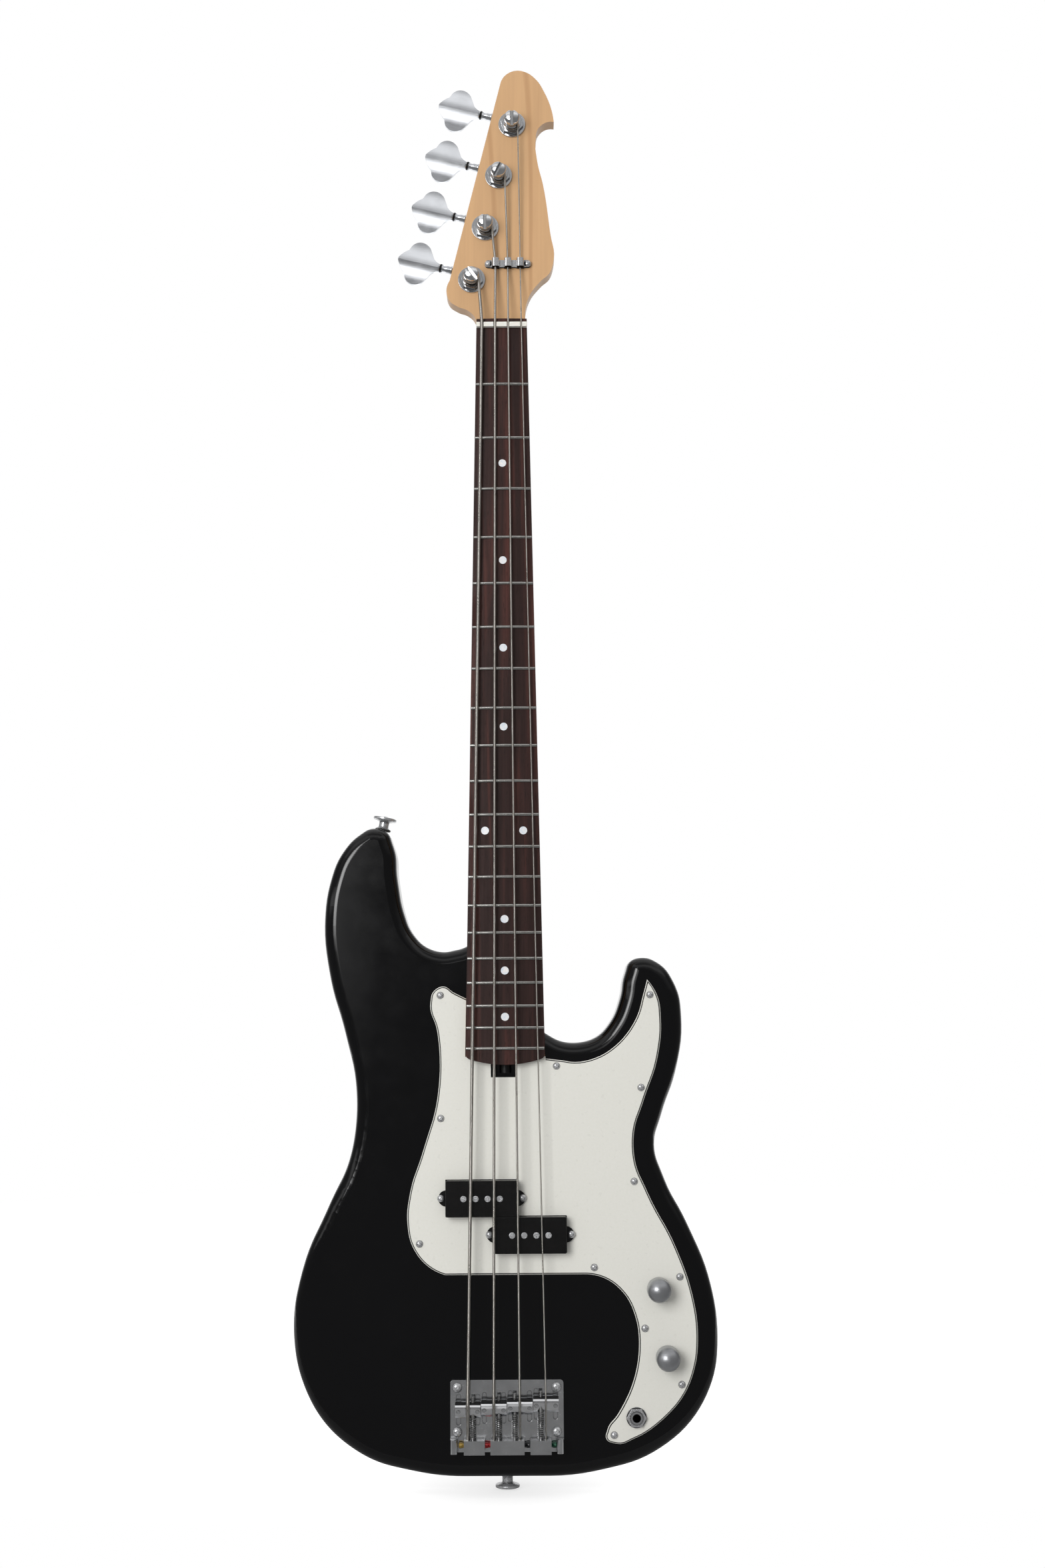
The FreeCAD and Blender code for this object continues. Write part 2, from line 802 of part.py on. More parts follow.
def make_body():
    """Solid body: rounded slab, forearm contour, heel tongue, neck pocket and cavities."""
    owner = new_body("body")
    outline = sketch(owner, "XZ_Plane", "-body_thickness / 2")
    curve_loop(outline, smooth([numbers(on_body(share)) for share in BODY_SHARES], closed=True))
    pad(owner, outline, "body_thickness")

    contour = sketch(owner, "XY_Plane")
    contour.AttachmentOffset = Placement(Vector(), Rotation(Vector(0, 1, 0), -CONTOUR_LEAN))
    bind(contour, "AttachmentOffset.Base.x", "-contour_x")
    bind(contour, "AttachmentOffset.Base.z", "contour_z")
    crest = Vector(0, value("-body_thickness / 2"), 0)
    radius, reach = value("contour_radius"), value("contour_reach")
    far = crest + Vector(-reach, radius - math.sqrt(radius ** 2 - reach ** 2), 0)
    above = Vector(0, value("-body_thickness / 2 - cut_overrun"), 0)
    corners = [far, Vector(far.x, above.y, 0), above, crest]
    sides = [Part.LineSegment(first, second) for first, second in zip(corners, corners[1:])]
    curve_loop(contour, [arc_between(crest, Vector(-1, 0, 0), far)] + sides)
    pocket(owner, contour, "2 * body_length", both=True)

    def rim(edge):
        return edge.Curve.TypeId != "Part::GeomLine" and not runs_along(edge, Vector(0, 1, 0))

    dress(owner, "Fillet", rim, "edge_round")

    tongue = new_body("heel_tongue")
    plan = sketch(tongue, "XZ_Plane", "-body_thickness / 2")
    polygon(plan, neck_outline(HEEL_END, TONGUE_TOP, "-tongue_inset"))
    pad(tongue, plan, "body_thickness - pocket_depth")
    back_top = value(TONGUE_TOP)

    def tongue_corner(edge):
        centre = middle(edge)
        on_back = at_level(edge, "-body_thickness / 2") and abs(centre.z - back_top) < 1e-4
        return on_back and runs_along(edge, Vector(1, 0, 0))

    dress(tongue, "Fillet", tongue_corner, "tongue_round")
    joined = owner.newObject("PartDesign::Boolean", "tongue_joint")
    joined.Type = "Fuse"
    joined.setObjects([tongue])

    seat_low, seat_high = f"({HEEL_END} - pocket_gap)", f"({TONGUE_TOP} + pocket_depth + cut_overrun)"
    seat = polygon(sketch(owner, "XZ_Plane", BODY_FRONT), neck_outline(seat_low, seat_high, "pocket_gap"))
    pocket(owner, seat, "pocket_depth")
    pocket(owner, rectangle(sketch(owner, "XZ_Plane", BODY_FRONT), *rod_slot()), "pocket_depth")
    coils = polygon(sketch(owner, "XZ_Plane", BODY_FRONT), pickup_outline("guard_gap"))
    pocket(owner, coils, "pickup_cavity_depth")
    volume, tone, jack = (on_body(share) for share in (VOLUME_SHARE, TONE_SHARE, JACK_SHARE))
    for first, second in ((volume, tone), (tone, jack)):
        room = capsule(sketch(owner, "XZ_Plane", BODY_FRONT), first, second, "control_radius")
        pocket(owner, room, "control_depth")
    channel = capsule(sketch(owner, "XZ_Plane", BODY_FRONT), lead_start(), volume, "channel_radius")
    pocket(owner, channel, "channel_depth")
    return keep("body", owner)


def make_pickguard():
    """Laminated guard with bevelled rim, neck cut-out and every opening through it."""
    owner = new_body("pickguard")
    outline = sketch(owner, "XZ_Plane", BODY_FRONT)
    bass = [numbers(on_body(share)) for share in GUARD_BASS_SHARES]
    treble = [numbers(on_body(share)) for share in GUARD_TREBLE_SHARES]
    cutaway = [numbers(on_body(share)) for share in GUARD_CUTAWAY_SHARES]
    margin = value("guard_gap")
    heel = value(HEEL_END) - margin
    low_half = value(half_width(HEEL_END)) + margin

    def at_neck(before, last):
        side = math.copysign(value(half_width(f"({last.y})")) + margin, last.x)
        return last + (last - before) * ((side - last.x) / (last.x - before.x))

    left, right = at_neck(bass[1], bass[0]), at_neck(cutaway[-2], cutaway[-1])
    low, high = (numbers(corner) for corner in rod_slot())
    corners = [
        right, Vector(low_half, heel, 0), Vector(high.x, heel, 0), Vector(high.x, low.y, 0),
        Vector(low.x, low.y, 0), Vector(low.x, heel, 0), Vector(-low_half, heel, 0), left,
    ]
    neck_sides = list(zip(corners, corners[1:]))

    def loop(bevel):
        rim = [[left] + bass, [bass[-1], treble[0]], treble]
        runs = [(cutaway + [right], bevel)] + [(list(side), 0) for side in neck_sides]
        return inset_runs(runs + [(points, bevel) for points in rim])

    curve_loop(outline, loop(0))
    pad(owner, outline, "guard_thickness - guard_bevel")
    foot = curve_loop(sketch(owner, "XZ_Plane", f"{GUARD_TOP} - guard_bevel"), loop(0))
    face = curve_loop(sketch(owner, "XZ_Plane", GUARD_TOP), loop(value("guard_bevel")))
    slope = owner.newObject("PartDesign::AdditiveLoft", "bevelled_rim")
    slope.Profile = foot
    slope.Sections = [face]
    slope.Ruled = True
    cuts = polygon(sketch(owner, "XZ_Plane", GUARD_TOP), pickup_outline("guard_gap"))
    pocket(owner, cuts, "guard_thickness + cut_overrun")
    holes = sketch(owner, "XZ_Plane", GUARD_TOP)
    for share in GUARD_SCREW_SHARES:
        circle(holes, on_body(share), "trim_hole")
    for x, z in ear_places():
        circle(holes, (x, z), "trim_hole")
    for share in (VOLUME_SHARE, TONE_SHARE):
        circle(holes, on_body(share), "pot_bush_radius + running_gap")
    circle(holes, on_body(JACK_SHARE), "jack_bush_radius + running_gap")
    pocket(owner, holes, "guard_thickness + cut_overrun")
    return keep("pickguard", owner)


def ear_places():
    """Where the ear screws of the two pickup halves stand."""
    places = []
    for side, rise in (("-", "+"), ("", "-")):
        for ear in ("-", "+"):
            x = f"({side}pickup_shift {ear} ear_offset)"
            places.append((x, f"(pickup_mid_z {rise} pickup_height / 2)"))
    return places


# Neck, fretboard and what they carry

def fret_height(number):
    """Height up the neck of a fret, by equal temperament."""
    return f"({NUT_Z} - scale_length * {1 - 2 ** (-number / SEMITONES)})"


def shaft_section(owner, height, depth):
    """Flat front and round back of the neck at one height."""
    item = sketch(owner, "XY_Plane", height)
    half, front = value(half_width(height)), -value(BOARD_BOTTOM)
    left, right = Vector(-half, front, 0), Vector(half, front, 0)
    back = Vector(0, front + value(depth), 0)
    return curve_loop(item, [Part.LineSegment(left, right), Part.Arc(right, back, left)])


def post_place(number):
    """Height up the neck and place across of a tuner post, counted from the nut."""
    lean = math.radians(value("post_lean"))
    across = value("-post_first_x") + number * value("post_pitch") * math.sin(lean)
    return across, value(NUT_Z) + value("post_first_z") + number * value("post_pitch") * math.cos(lean)


def make_neck():
    """Neck with round back, square heel and headstock, drilled for the rod and the tuners."""
    owner = new_body("neck")
    stations = (
        (f"({NUT_Z} + board_lead)", "shaft_depth_nut"),
        (fret_height(SEMITONES), "shaft_depth_middle"),
        (TONGUE_TOP, "shaft_depth_heel"),
    )
    sections = [shaft_section(owner, height, depth) for height, depth in stations]
    shaft = owner.newObject("PartDesign::AdditiveLoft", "shaft")
    shaft.Profile = sections[0]
    shaft.Sections = sections[1:]

    heel = polygon(sketch(owner, "XZ_Plane", POCKET_FLOOR), neck_outline(HEEL_END, TONGUE_TOP, "0"))
    pad(owner, heel, f"{BOARD_BOTTOM} - {POCKET_FLOOR}")
    top, floor = value(TONGUE_TOP), value(POCKET_FLOOR)

    def shoulder(edge):
        centre = middle(edge)
        on_corner = abs(centre.z - top) < 1e-4 and abs(centre.y + floor) < 1e-4
        return on_corner and runs_along(edge, Vector(1, 0, 0))

    dress(owner, "Fillet", shoulder, "heel_round")

    head = sketch(owner, "XZ_Plane", HEAD_BACK)
    treble, tip, bass = (
        [numbers(on_head(share)) for share in shares]
        for shares in (HEAD_TREBLE_SHARES, HEAD_TIP_SHARES, HEAD_BASS_SHARES)
    )
    root = value(f"{NUT_Z} + head_root")
    half = value(half_width(f"({root})")) - value("seat_gap")
    foot = [Vector(-half, root, 0), Vector(half, root, 0)]
    curves = run([foot[1]] + treble) + run(tip) + run([tip[-1], bass[0]]) + run(bass + [foot[0]]) + run(foot)
    curve_loop(head, curves)
    pad(owner, head, "head_thickness")

    bores = sketch(owner, "XZ_Plane", HEAD_FACE)
    for number in range(len(STRINGS)):
        circle(bores, post_place(number), "post_shank_radius + running_gap + bush_wall + bush_gap")
    pocket(owner, bores, "head_thickness + cut_overrun")
    rod = sketch(owner, "XY_Plane", HEEL_END)
    circle(rod, ("0", f"rod_drop - {BOARD_BOTTOM}"), "rod_radius + rod_gap")
    pocket(owner, rod, f"{NUT_Z} - rod_stop - {HEEL_END}", back=True)
    return keep("neck", owner)


def board_blank():
    """Fretboard before slotting: tapered slab, bowed end and crowned face."""
    owner = new_body("fretboard_blank")
    outline = sketch(owner, "XZ_Plane", BOARD_BOTTOM)
    top = value(f"{NUT_Z} + board_lead")
    low = value(BOARD_END)
    side = low + value("board_bow")
    half_top, half_low = value(half_width(f"({top})")), value(half_width(f"({side})"))
    upper = [Vector(half_top, top, 0), Vector(-half_top, top, 0)]
    lower = [Vector(-half_low, side, 0), Vector(half_low, side, 0)]
    bow = [Part.Arc(lower[0], Vector(0, low, 0), lower[1])]
    curve_loop(outline, run(upper) + run([upper[1], lower[0]]) + bow + run([lower[1], upper[0]]))
    pad(owner, outline, "board_thickness")

    def end_corner(edge):
        return runs_along(edge, Vector(0, 1, 0)) and middle(edge).z < top - value("board_lead")

    dress(owner, "Fillet", end_corner, "board_corner")
    crown = sketch(owner, "XY_Plane", f"{NUT_Z} + board_lead + cut_overrun")
    reach, radius = value("heel_width"), value("board_radius")
    crest = -value(BOARD_TOP)
    edge = crest + radius - math.sqrt(radius ** 2 - reach ** 2)
    left, right = Vector(-reach, edge, 0), Vector(reach, edge, 0)
    lift = Vector(0, -value("board_thickness"), 0) + Vector(0, crest - edge, 0)
    curves = [Part.Arc(left, Vector(0, crest, 0), right)]
    curves += run([right, right + lift]) + run([right + lift, left + lift]) + run([left + lift, left])
    curve_loop(crown, curves)
    pocket(owner, crown, f"{NUT_Z} + board_lead + 2 * cut_overrun - {BOARD_END}")
    return owner


def fret_ring(height, half, low, high, width):
    """A bar of fret wire bent to the crown of the fretboard: radii low to high, of one width."""
    radius = value("board_radius")
    axis = Vector(0, radius - value(BOARD_TOP), 0)
    foot = Vector(0, axis.y - low, height - width / 2)
    head = Vector(0, axis.y - high, height - width / 2)
    across = Vector(0, 0, width)
    if low < radius:
        outline = [Part.LineSegment(foot, head), Part.LineSegment(head, head + across)]
        outline += [Part.LineSegment(head + across, foot + across), Part.LineSegment(foot + across, foot)]
    else:
        crest = head + across / 2
        outline = [Part.Arc(foot, crest, foot + across), Part.LineSegment(foot + across, foot)]
    face = Part.Face(Part.Wire([curve.toShape() for curve in outline]))
    spread = math.degrees(math.asin(half / radius))
    face.rotate(axis, UP, -spread)
    return face.revolve(axis, UP, 2 * spread)


def make_fretboard():
    """Fretboard with slots and dots, the frets, the markers and the nut."""
    blank = board_blank()
    radius = value("board_radius")
    frets, slots = [], []
    for number in range(1, FRET_COUNT + 1):
        height = value(fret_height(number))
        half = value(half_width(f"({height})"))
        reach = half - value("fret_inset")
        tang = radius - value("tang_depth")
        bead = fret_ring(height, reach, radius, radius + value("fret_height"), value("fret_width"))
        stem = fret_ring(height, reach, tang, radius, value("tang_width"))
        frets.append(bead.fuse(stem).removeSplitter())
        slots.append(fret_ring(height, reach, tang, radius + value("fret_height"), value("tang_width")))
    shape_part("frets", Part.makeCompound(frets))
    slot_tool = DOC.addObject("Part::Feature", "fret_slots")
    slot_tool.Shape = Part.makeCompound(slots)

    places = [("0", number) for number in DOT_FRETS]
    places += [("-dot_spread", DOUBLE_DOT_FRET), ("dot_spread", DOUBLE_DOT_FRET)]
    dots = []
    for across, number in places:
        dot = DOC.addObject("Part::Cylinder", "dot")
        bind(dot, "Radius", "dot_radius")
        bind(dot, "Height", "dot_depth + cut_overrun")
        drop = f"({across}) * ({across}) / (2 * board_radius)"
        middle_height = f"(({fret_height(number)} + {fret_height(number - 1)}) / 2)"
        place(dot, across, f"{BOARD_TOP} - dot_depth - {drop}", middle_height, FRONTWARD)
        dots.append(dot)
    dot_tool = DOC.addObject("Part::Compound", "dot_tool")
    dot_tool.Links = dots
    keep("fret_markers", boolean("Common", "fret_markers", blank, dot_tool))

    seat = DOC.addObject("Part::Box", "nut_seat")
    bind(seat, "Length", "heel_width")
    bind(seat, "Width", "nut_seat + cut_overrun")
    bind(seat, "Height", "nut_thickness")
    place(seat, "-heel_width / 2", f"{BOARD_TOP} + cut_overrun", NUT_Z)
    cutters = DOC.addObject("Part::Compound", "board_cutters")
    cutters.Links = [slot_tool, dot_tool, seat]
    keep("fretboard", boolean("Cut", "fretboard", blank, cutters))


def string_across(number, spacing):
    """Place across of a string where the strings have this spacing."""
    return f"({(number - 1.5)} * {spacing})"


def string_level(number, action, spacing):
    """Level of a string's axis over the crowned board."""
    across = string_across(number, spacing)
    drop = f"{across} * {across} / (2 * board_radius)"
    return f"({BOARD_TOP} + {action} + gauge_{STRINGS[number]} / 2 - {drop})"


def make_nut():
    """Bone nut with a round-bottomed slot for each string."""
    low, high = NUT_Z, f"({NUT_Z} + nut_thickness)"
    base = f"({BOARD_TOP} - nut_seat)"
    owner = prism("nut", neck_outline(low, high, "0"), base, "nut_seat + nut_height")
    slots = sketch(owner, "XY_Plane", f"{NUT_Z} - cut_overrun")
    for number, name in enumerate(STRINGS):
        across = value(string_across(number, "nut_spacing"))
        axis = Vector(across, -value(string_level(number, "nut_action", "nut_spacing")), 0)
        half = value(f"gauge_{name} / 2 + nut_slot_gap")
        side = Vector(half, 0, 0)
        up = Vector(0, -value("nut_height + cut_overrun"), 0)
        curves = [Part.Arc(axis + side, axis + Vector(0, half, 0), axis - side)]
        curves += run([axis - side, axis - side + up]) + run([axis - side + up, axis + side + up])
        curve_loop(slots, curves + run([axis + side + up, axis + side]))
    pocket(owner, slots, "nut_thickness + 2 * cut_overrun", back=True)
    keep("nut", owner)


def make_truss_rod():
    """Steel rod in the neck and the adjuster nut on its end."""
    level = f"({BOARD_BOTTOM} - rod_drop)"
    stub = f"({HEEL_END} - rod_nut_length + rod_key_depth)"
    rod = DOC.addObject("Part::Cylinder", "truss_rod")
    bind(rod, "Radius", "rod_radius")
    bind(rod, "Height", f"{NUT_Z} - rod_stop - {stub}")
    keep("truss_rod", place(rod, "0", level, stub))

    owner = turned_body("truss_rod_nut", [
        ("rod_radius + running_gap", "rod_key_depth"), ("rod_radius + running_gap", "rod_nut_length"),
        ("rod_nut_radius", "rod_nut_length"), ("rod_nut_radius", "0"), ("rod_key_radius", "0"),
        ("rod_key_radius", "rod_key_depth"),
    ])
    slot = sketch(owner, "XY_Plane")
    corner = ("rod_nut_radius + cut_overrun", "rod_key_radius / 3")
    rectangle(slot, (f"-({corner[0]})", f"-({corner[1]})"), corner)
    pocket(owner, slot, "rod_key_depth", back=True)
    keep("truss_rod_nut", place(owner, "0", level, f"{HEEL_END} - rod_nut_length - seat_gap"))


def screw(label):
    """Round-headed wood screw standing on its seat, with a cross in its head and a pointed end."""
    owner = new_body(label)
    outline = sketch(owner, "XZ_Plane")
    head, dome, shank, length = (f"{label}_{size}" for size in ("head", "dome", "radius", "length"))
    radius, rise, stem, reach = (value(text) for text in (head, dome, shank, length))
    crown, rim = Vector(0, rise, 0), Vector(radius, 0, 0)
    bulge = Vector(radius * math.cos(math.radians(50)), rise * math.sin(math.radians(58)), 0)
    corners = [rim, Vector(stem, 0, 0), Vector(stem, stem * 2 - reach, 0), Vector(0, -reach, 0), crown]
    curves = [Part.Arc(crown, bulge, rim)]
    for first, second in zip(corners, corners[1:]):
        curves += run([first, second])
    curve_loop(outline, curves)
    turn(owner, outline)
    half = f"{head} * {CROSS_SHARE}"
    width = f"{head} * {CROSS_WIDTH_SHARE}"
    for across, along in ((half, width), (width, half)):
        cross = sketch(owner, "XY_Plane", dome)
        rectangle(cross, (f"-{across}", f"-{along}"), (across, along))
        pocket(owner, cross, f"{dome} * {CROSS_DEPTH_SHARE}")
    return owner


def make_neck_plate():
    """Steel plate on the back with four long screws into the heel."""
    centre = f"({HEEL_END} + neck_plate_length / 2)"
    half = "neck_plate_width / 2"
    owner = prism("neck_plate", [
        (f"-{half}", f"{centre} - neck_plate_length / 2"), (half, f"{centre} - neck_plate_length / 2"),
        (half, f"{centre} + neck_plate_length / 2"), (f"-{half}", f"{centre} + neck_plate_length / 2"),
    ], "-body_thickness / 2 - neck_plate_thickness", "neck_plate_thickness")
    dress(owner, "Fillet", lambda edge: runs_along(edge, Vector(0, 1, 0)), "neck_plate_round")
    reach = "(neck_plate_width / 2 - neck_screw_inset)"
    rise = "(neck_plate_length / 2 - neck_screw_inset)"
    places = [(f"({side}{reach})", f"({centre} {end} {rise})") for side in ("-", "") for end in ("-", "+")]
    holes = sketch(owner, "XZ_Plane", "-body_thickness / 2")
    for where in places:
        circle(holes, where, "neck_screw_radius + bridge_hole_gap")
    pocket(owner, holes, "neck_plate_thickness + cut_overrun")
    keep("neck_plate", owner)
    master = screw("neck_screw")
    level = "-body_thickness / 2 - neck_plate_thickness"
    copies("neck_screws", master, [spot(x, level, z, BACKWARD) for x, z in places])


# Pickups and controls

def pickup_halves():
    """Centre, across and up, of the bass half and the treble half."""
    return (
        ("(-pickup_shift)", "(pickup_mid_z + pickup_height / 2)"),
        ("pickup_shift", "(pickup_mid_z - pickup_height / 2)"),
    )


def pole_places(centre):
    return [(f"({centre[0]} + {number - 1.5} * pole_pitch)", centre[1]) for number in range(len(STRINGS))]


def block(item, centre, width, height):
    """A rectangle about a centre."""
    low = (f"({centre[0]} - {width} / 2)", f"({centre[1]} - {height} / 2)")
    return rectangle(item, low, (f"({centre[0]} + {width} / 2)", f"({centre[1]} + {height} / 2)"))


def pickup_cover(centre):
    """Open-backed cover with two screw ears and a hole for each pole."""
    owner = new_body("pickup_cover")
    base = f"{GUARD_TOP} - pickup_depth"
    box = block(sketch(owner, "XZ_Plane", base), centre, "pickup_width", "pickup_height")
    pad(owner, box, "pickup_depth + pickup_rise")
    dress(owner, "Fillet", lambda edge: runs_along(edge, Vector(0, 1, 0)), "pickup_round")
    dress(owner, "Fillet", lambda edge: at_level(edge, f"{GUARD_TOP} + pickup_rise"), "pickup_round / 2")
    for side in ("-", "+"):
        ear = sketch(owner, "XZ_Plane", GUARD_TOP)
        circle(ear, (f"({centre[0]} {side} (ear_reach - ear_radius))", centre[1]), "ear_radius")
        pad(owner, ear, "ear_thickness")
    inside = sketch(owner, "XZ_Plane", base)
    block(inside, centre, "(pickup_width - 2 * pickup_wall)", "(pickup_height - 2 * pickup_wall)")
    pocket(owner, inside, "pickup_depth + pickup_rise - pickup_wall", back=True)
    holes = sketch(owner, "XZ_Plane", f"{GUARD_TOP} + pickup_rise")
    for where in pole_places(centre):
        circle(holes, where, "pole_radius + pole_gap")
    pocket(owner, holes, "pickup_wall + cut_overrun")
    ears = sketch(owner, "XZ_Plane", f"{GUARD_TOP} + ear_thickness")
    for side in ("-", "+"):
        circle(ears, (f"({centre[0]} {side} ear_offset)", centre[1]), "trim_hole")
    pocket(owner, ears, "ear_thickness + cut_overrun")
    return owner


def pickup_bobbin(centre):
    """Coil between two flanges, bored for the poles."""
    owner = new_body("pickup_bobbin")
    base = f"{GUARD_TOP} - pickup_depth"
    height = "(pickup_depth + pickup_rise - pickup_wall)"
    pad(owner, block(sketch(owner, "XZ_Plane", base), centre, "coil_width", "coil_height"), height)
    for level in (base, f"{base} + {height} - flange_thickness"):
        flange = sketch(owner, "XZ_Plane", level)
        block(flange, centre, "(coil_width + 2 * flange_margin)", "(coil_height + 2 * flange_margin)")
        pad(owner, flange, "flange_thickness")
    bores = sketch(owner, "XZ_Plane", f"{base} + {height}")
    for where in pole_places(centre):
        circle(bores, where, "pole_radius + running_gap")
    pocket(owner, bores, f"{height} + cut_overrun")
    return owner


def group(label, items):
    """Separate pieces under one name."""
    item = DOC.addObject("Part::Compound", label)
    item.Links = items
    return keep(label, item)


def cylinder(label, radius, height, across, level, up, turned=FRONTWARD):
    item = DOC.addObject("Part::Cylinder", label)
    bind(item, "Radius", radius)
    bind(item, "Height", height)
    return place(item, across, level, up, turned)


def make_pickups():
    halves = pickup_halves()
    group("pickup_covers", [pickup_cover(centre) for centre in halves])
    group("pickup_bobbins", [pickup_bobbin(centre) for centre in halves])
    length = "pickup_depth + pickup_rise + pole_rise"
    base = f"{GUARD_TOP} - pickup_depth"
    poles = [
        cylinder("pole", "pole_radius", length, across, base, up)
        for centre in halves for across, up in pole_places(centre)
    ]
    group("pole_pieces", poles)


def hexagon(radius):
    """Corners of a hexagon, by its corner radius."""
    angles = [math.radians(60 * number) for number in range(6)]
    return [(f"({radius} * {math.cos(angle)})", f"({radius} * {math.sin(angle)})") for angle in angles]


def hex_nut(label, radius, height, bore):
    owner = new_body(label)
    outline = polygon(sketch(owner, "XY_Plane"), hexagon(radius))
    circle(outline, ("0", "0"), bore)
    pad(owner, outline, height)
    return owner


def washer(label, radius, height, bore):
    return turned_body(label, [(bore, "0"), (radius, "0"), (radius, height), (bore, height)])


def knob(share, label):
    """Domed metal knob, hollow over its nut, and the shaft that turns with it."""
    owner = new_body(label + "_cap")
    outline = sketch(owner, "XZ_Plane")
    side, top = value("knob_radius"), value("knob_height")
    foot, lift = value("knob_foot_radius"), value("knob_lift")
    dome = top - value("knob_dome")
    bore, hollow = value("pot_shaft_radius"), value("knob_hollow_radius")
    roof = lift + value("knob_hollow_depth")
    shaft_top = value("pot_shaft_rise")
    shoulder, crown = Vector(side, dome, 0), Vector(0, top, 0)
    corners = [
        crown, Vector(0, shaft_top, 0), Vector(bore, shaft_top, 0), Vector(bore, roof, 0),
        Vector(hollow, roof, 0), Vector(hollow, lift, 0), Vector(foot, lift, 0),
        Vector(side, lift + 2 * (side - foot), 0), shoulder,
    ]
    curves = []
    for first, second in zip(corners, corners[1:]):
        curves += run([first, second])
    curves += biarc(shoulder, Vector(0, 1, 0), crown, Vector(-1, 0, 0))
    turn(owner, curve_loop(outline, curves))
    across, up = on_body(share)
    place(owner, across, GUARD_TOP, up, FRONTWARD)
    shaft = cylinder(
        label + "_shaft", "pot_shaft_radius", "pot_shaft_rise + guard_thickness + pot_shaft_depth",
        across, f"{BODY_FRONT} - pot_shaft_depth", up,
    )
    return group(label, [owner, shaft])


def pot_case(share):
    """Sealed pot with a threaded bush through the guard."""
    bore = "pot_shaft_radius + running_gap"
    owner = turned_body("pot_case", [
        (bore, "guard_thickness + pot_bush_rise"), ("pot_bush_radius", "guard_thickness + pot_bush_rise"),
        ("pot_bush_radius", "0"), ("pot_radius", "0"), ("pot_radius", "-pot_height"), ("0", "-pot_height"),
        ("0", "-pot_shaft_depth - seat_gap"), (bore, "-pot_shaft_depth - seat_gap"),
    ])
    across, up = on_body(share)
    return place(owner, across, BODY_FRONT, up, FRONTWARD)


def path_along(points, radius):
    """Straight runs joined by tangent arcs, as points with directions."""
    nodes = [(points[0], Vector(points[1] - points[0]).normalize())]
    for before, corner, after in zip(points, points[1:], points[2:]):
        arrive = Vector(corner - before).normalize()
        leave = Vector(after - corner).normalize()
        bend = arrive.getAngle(leave)
        step = min(radius * math.tan(bend / 2), 0.45 * min((corner - before).Length, (after - corner).Length))
        nodes += [(corner - arrive * step, arrive), (corner + leave * step, leave)]
    nodes.append((points[-1], Vector(points[-1] - points[-2]).normalize()))
    return nodes


def joined(nodes):
    """Lines and arcs through points with directions."""
    curves = []
    for (start, leave), (end, arrive) in zip(nodes, nodes[1:]):
        curves += biarc(start, leave, end, arrive)
    return curves


def lead(first, first_level, second, second_level):
    """An insulated lead that dips below both of its ends."""
    dip = min(value(first_level), value(second_level)) - value("lead_dip")
    ends = [numbers(first), numbers(second)]
    points = [
        Vector(ends[0].x, -value(first_level), ends[0].y), Vector(ends[0].x, -dip, ends[0].y),
        Vector(ends[1].x, -dip, ends[1].y), Vector(ends[1].x, -value(second_level), ends[1].y),
    ]
    return tube(joined(path_along(points, value("lead_bend"))), value("lead_radius"))


def make_controls():
    volume, tone, jack = (on_body(share) for share in (VOLUME_SHARE, TONE_SHARE, JACK_SHARE))
    knob(VOLUME_SHARE, "volume_knob")
    knob(TONE_SHARE, "tone_knob")
    group("pot_cases", [pot_case(VOLUME_SHARE), pot_case(TONE_SHARE)])

    bush_top, bore_end = "guard_thickness + jack_bush_rise", "jack_end - jack_barrel_length"
    socket = turned_body("output_jack", [
        ("jack_bore", bush_top), ("jack_bush_radius", bush_top), ("jack_bush_radius", "0"),
        ("jack_barrel_radius", "0"), ("jack_barrel_radius", "-jack_barrel_length"),
        ("0", "-jack_barrel_length"), ("0", bore_end), ("jack_bore", bore_end),
    ])
    keep("output_jack", place(socket, jack[0], BODY_FRONT, jack[1], FRONTWARD))

    pot_hole = "pot_bush_radius + running_gap"
    jack_hole = "jack_bush_radius + running_gap"
    pieces = []
    for x, z in (volume, tone):
        ring = washer("pot_washer", "panel_washer_radius", "panel_washer_height", pot_hole)
        pieces.append(place(ring, x, GUARD_TOP, z, FRONTWARD))
        nut = hex_nut("pot_nut", "panel_nut_radius", "panel_nut_height", pot_hole)
        pieces.append(place(nut, x, f"{GUARD_TOP} + panel_washer_height", z, FRONTWARD))
    ring = washer("jack_washer", "jack_washer_radius", "jack_washer_height", jack_hole)
    pieces.append(place(ring, jack[0], GUARD_TOP, jack[1], FRONTWARD))
    nut = hex_nut("jack_nut", "jack_nut_radius", "jack_nut_height", jack_hole)
    pieces.append(place(nut, jack[0], f"{GUARD_TOP} + jack_washer_height", jack[1], FRONTWARD))
    group("panel_nuts", pieces)

    bass, treble = pickup_halves()
    bobbin_back = f"{GUARD_TOP} - pickup_depth"
    pot_back = f"{BODY_FRONT} - pot_height"
    jack_back = f"{BODY_FRONT} - jack_barrel_length"
    spread = "2 * lead_bend"
    leads = [
        lead(bass, bobbin_back, (f"{treble[0]} - {spread}", treble[1]), bobbin_back),
        lead(lead_start(), bobbin_back, volume, pot_back),
        lead((volume[0], f"{volume[1]} - {spread}"), pot_back, tone, pot_back),
        lead((tone[0], f"{tone[1]} - {spread}"), pot_back, jack, jack_back),
    ]
    disc = Part.makeCylinder(value("capacitor_radius"), value("capacitor_thickness"))
    disc.Placement = spot(tone[0], f"{pot_back} - capacitor_thickness", f"{tone[1]} + {spread}")
    shape_part("wiring_harness", Part.makeCompound(leads + [disc]))


# Bridge

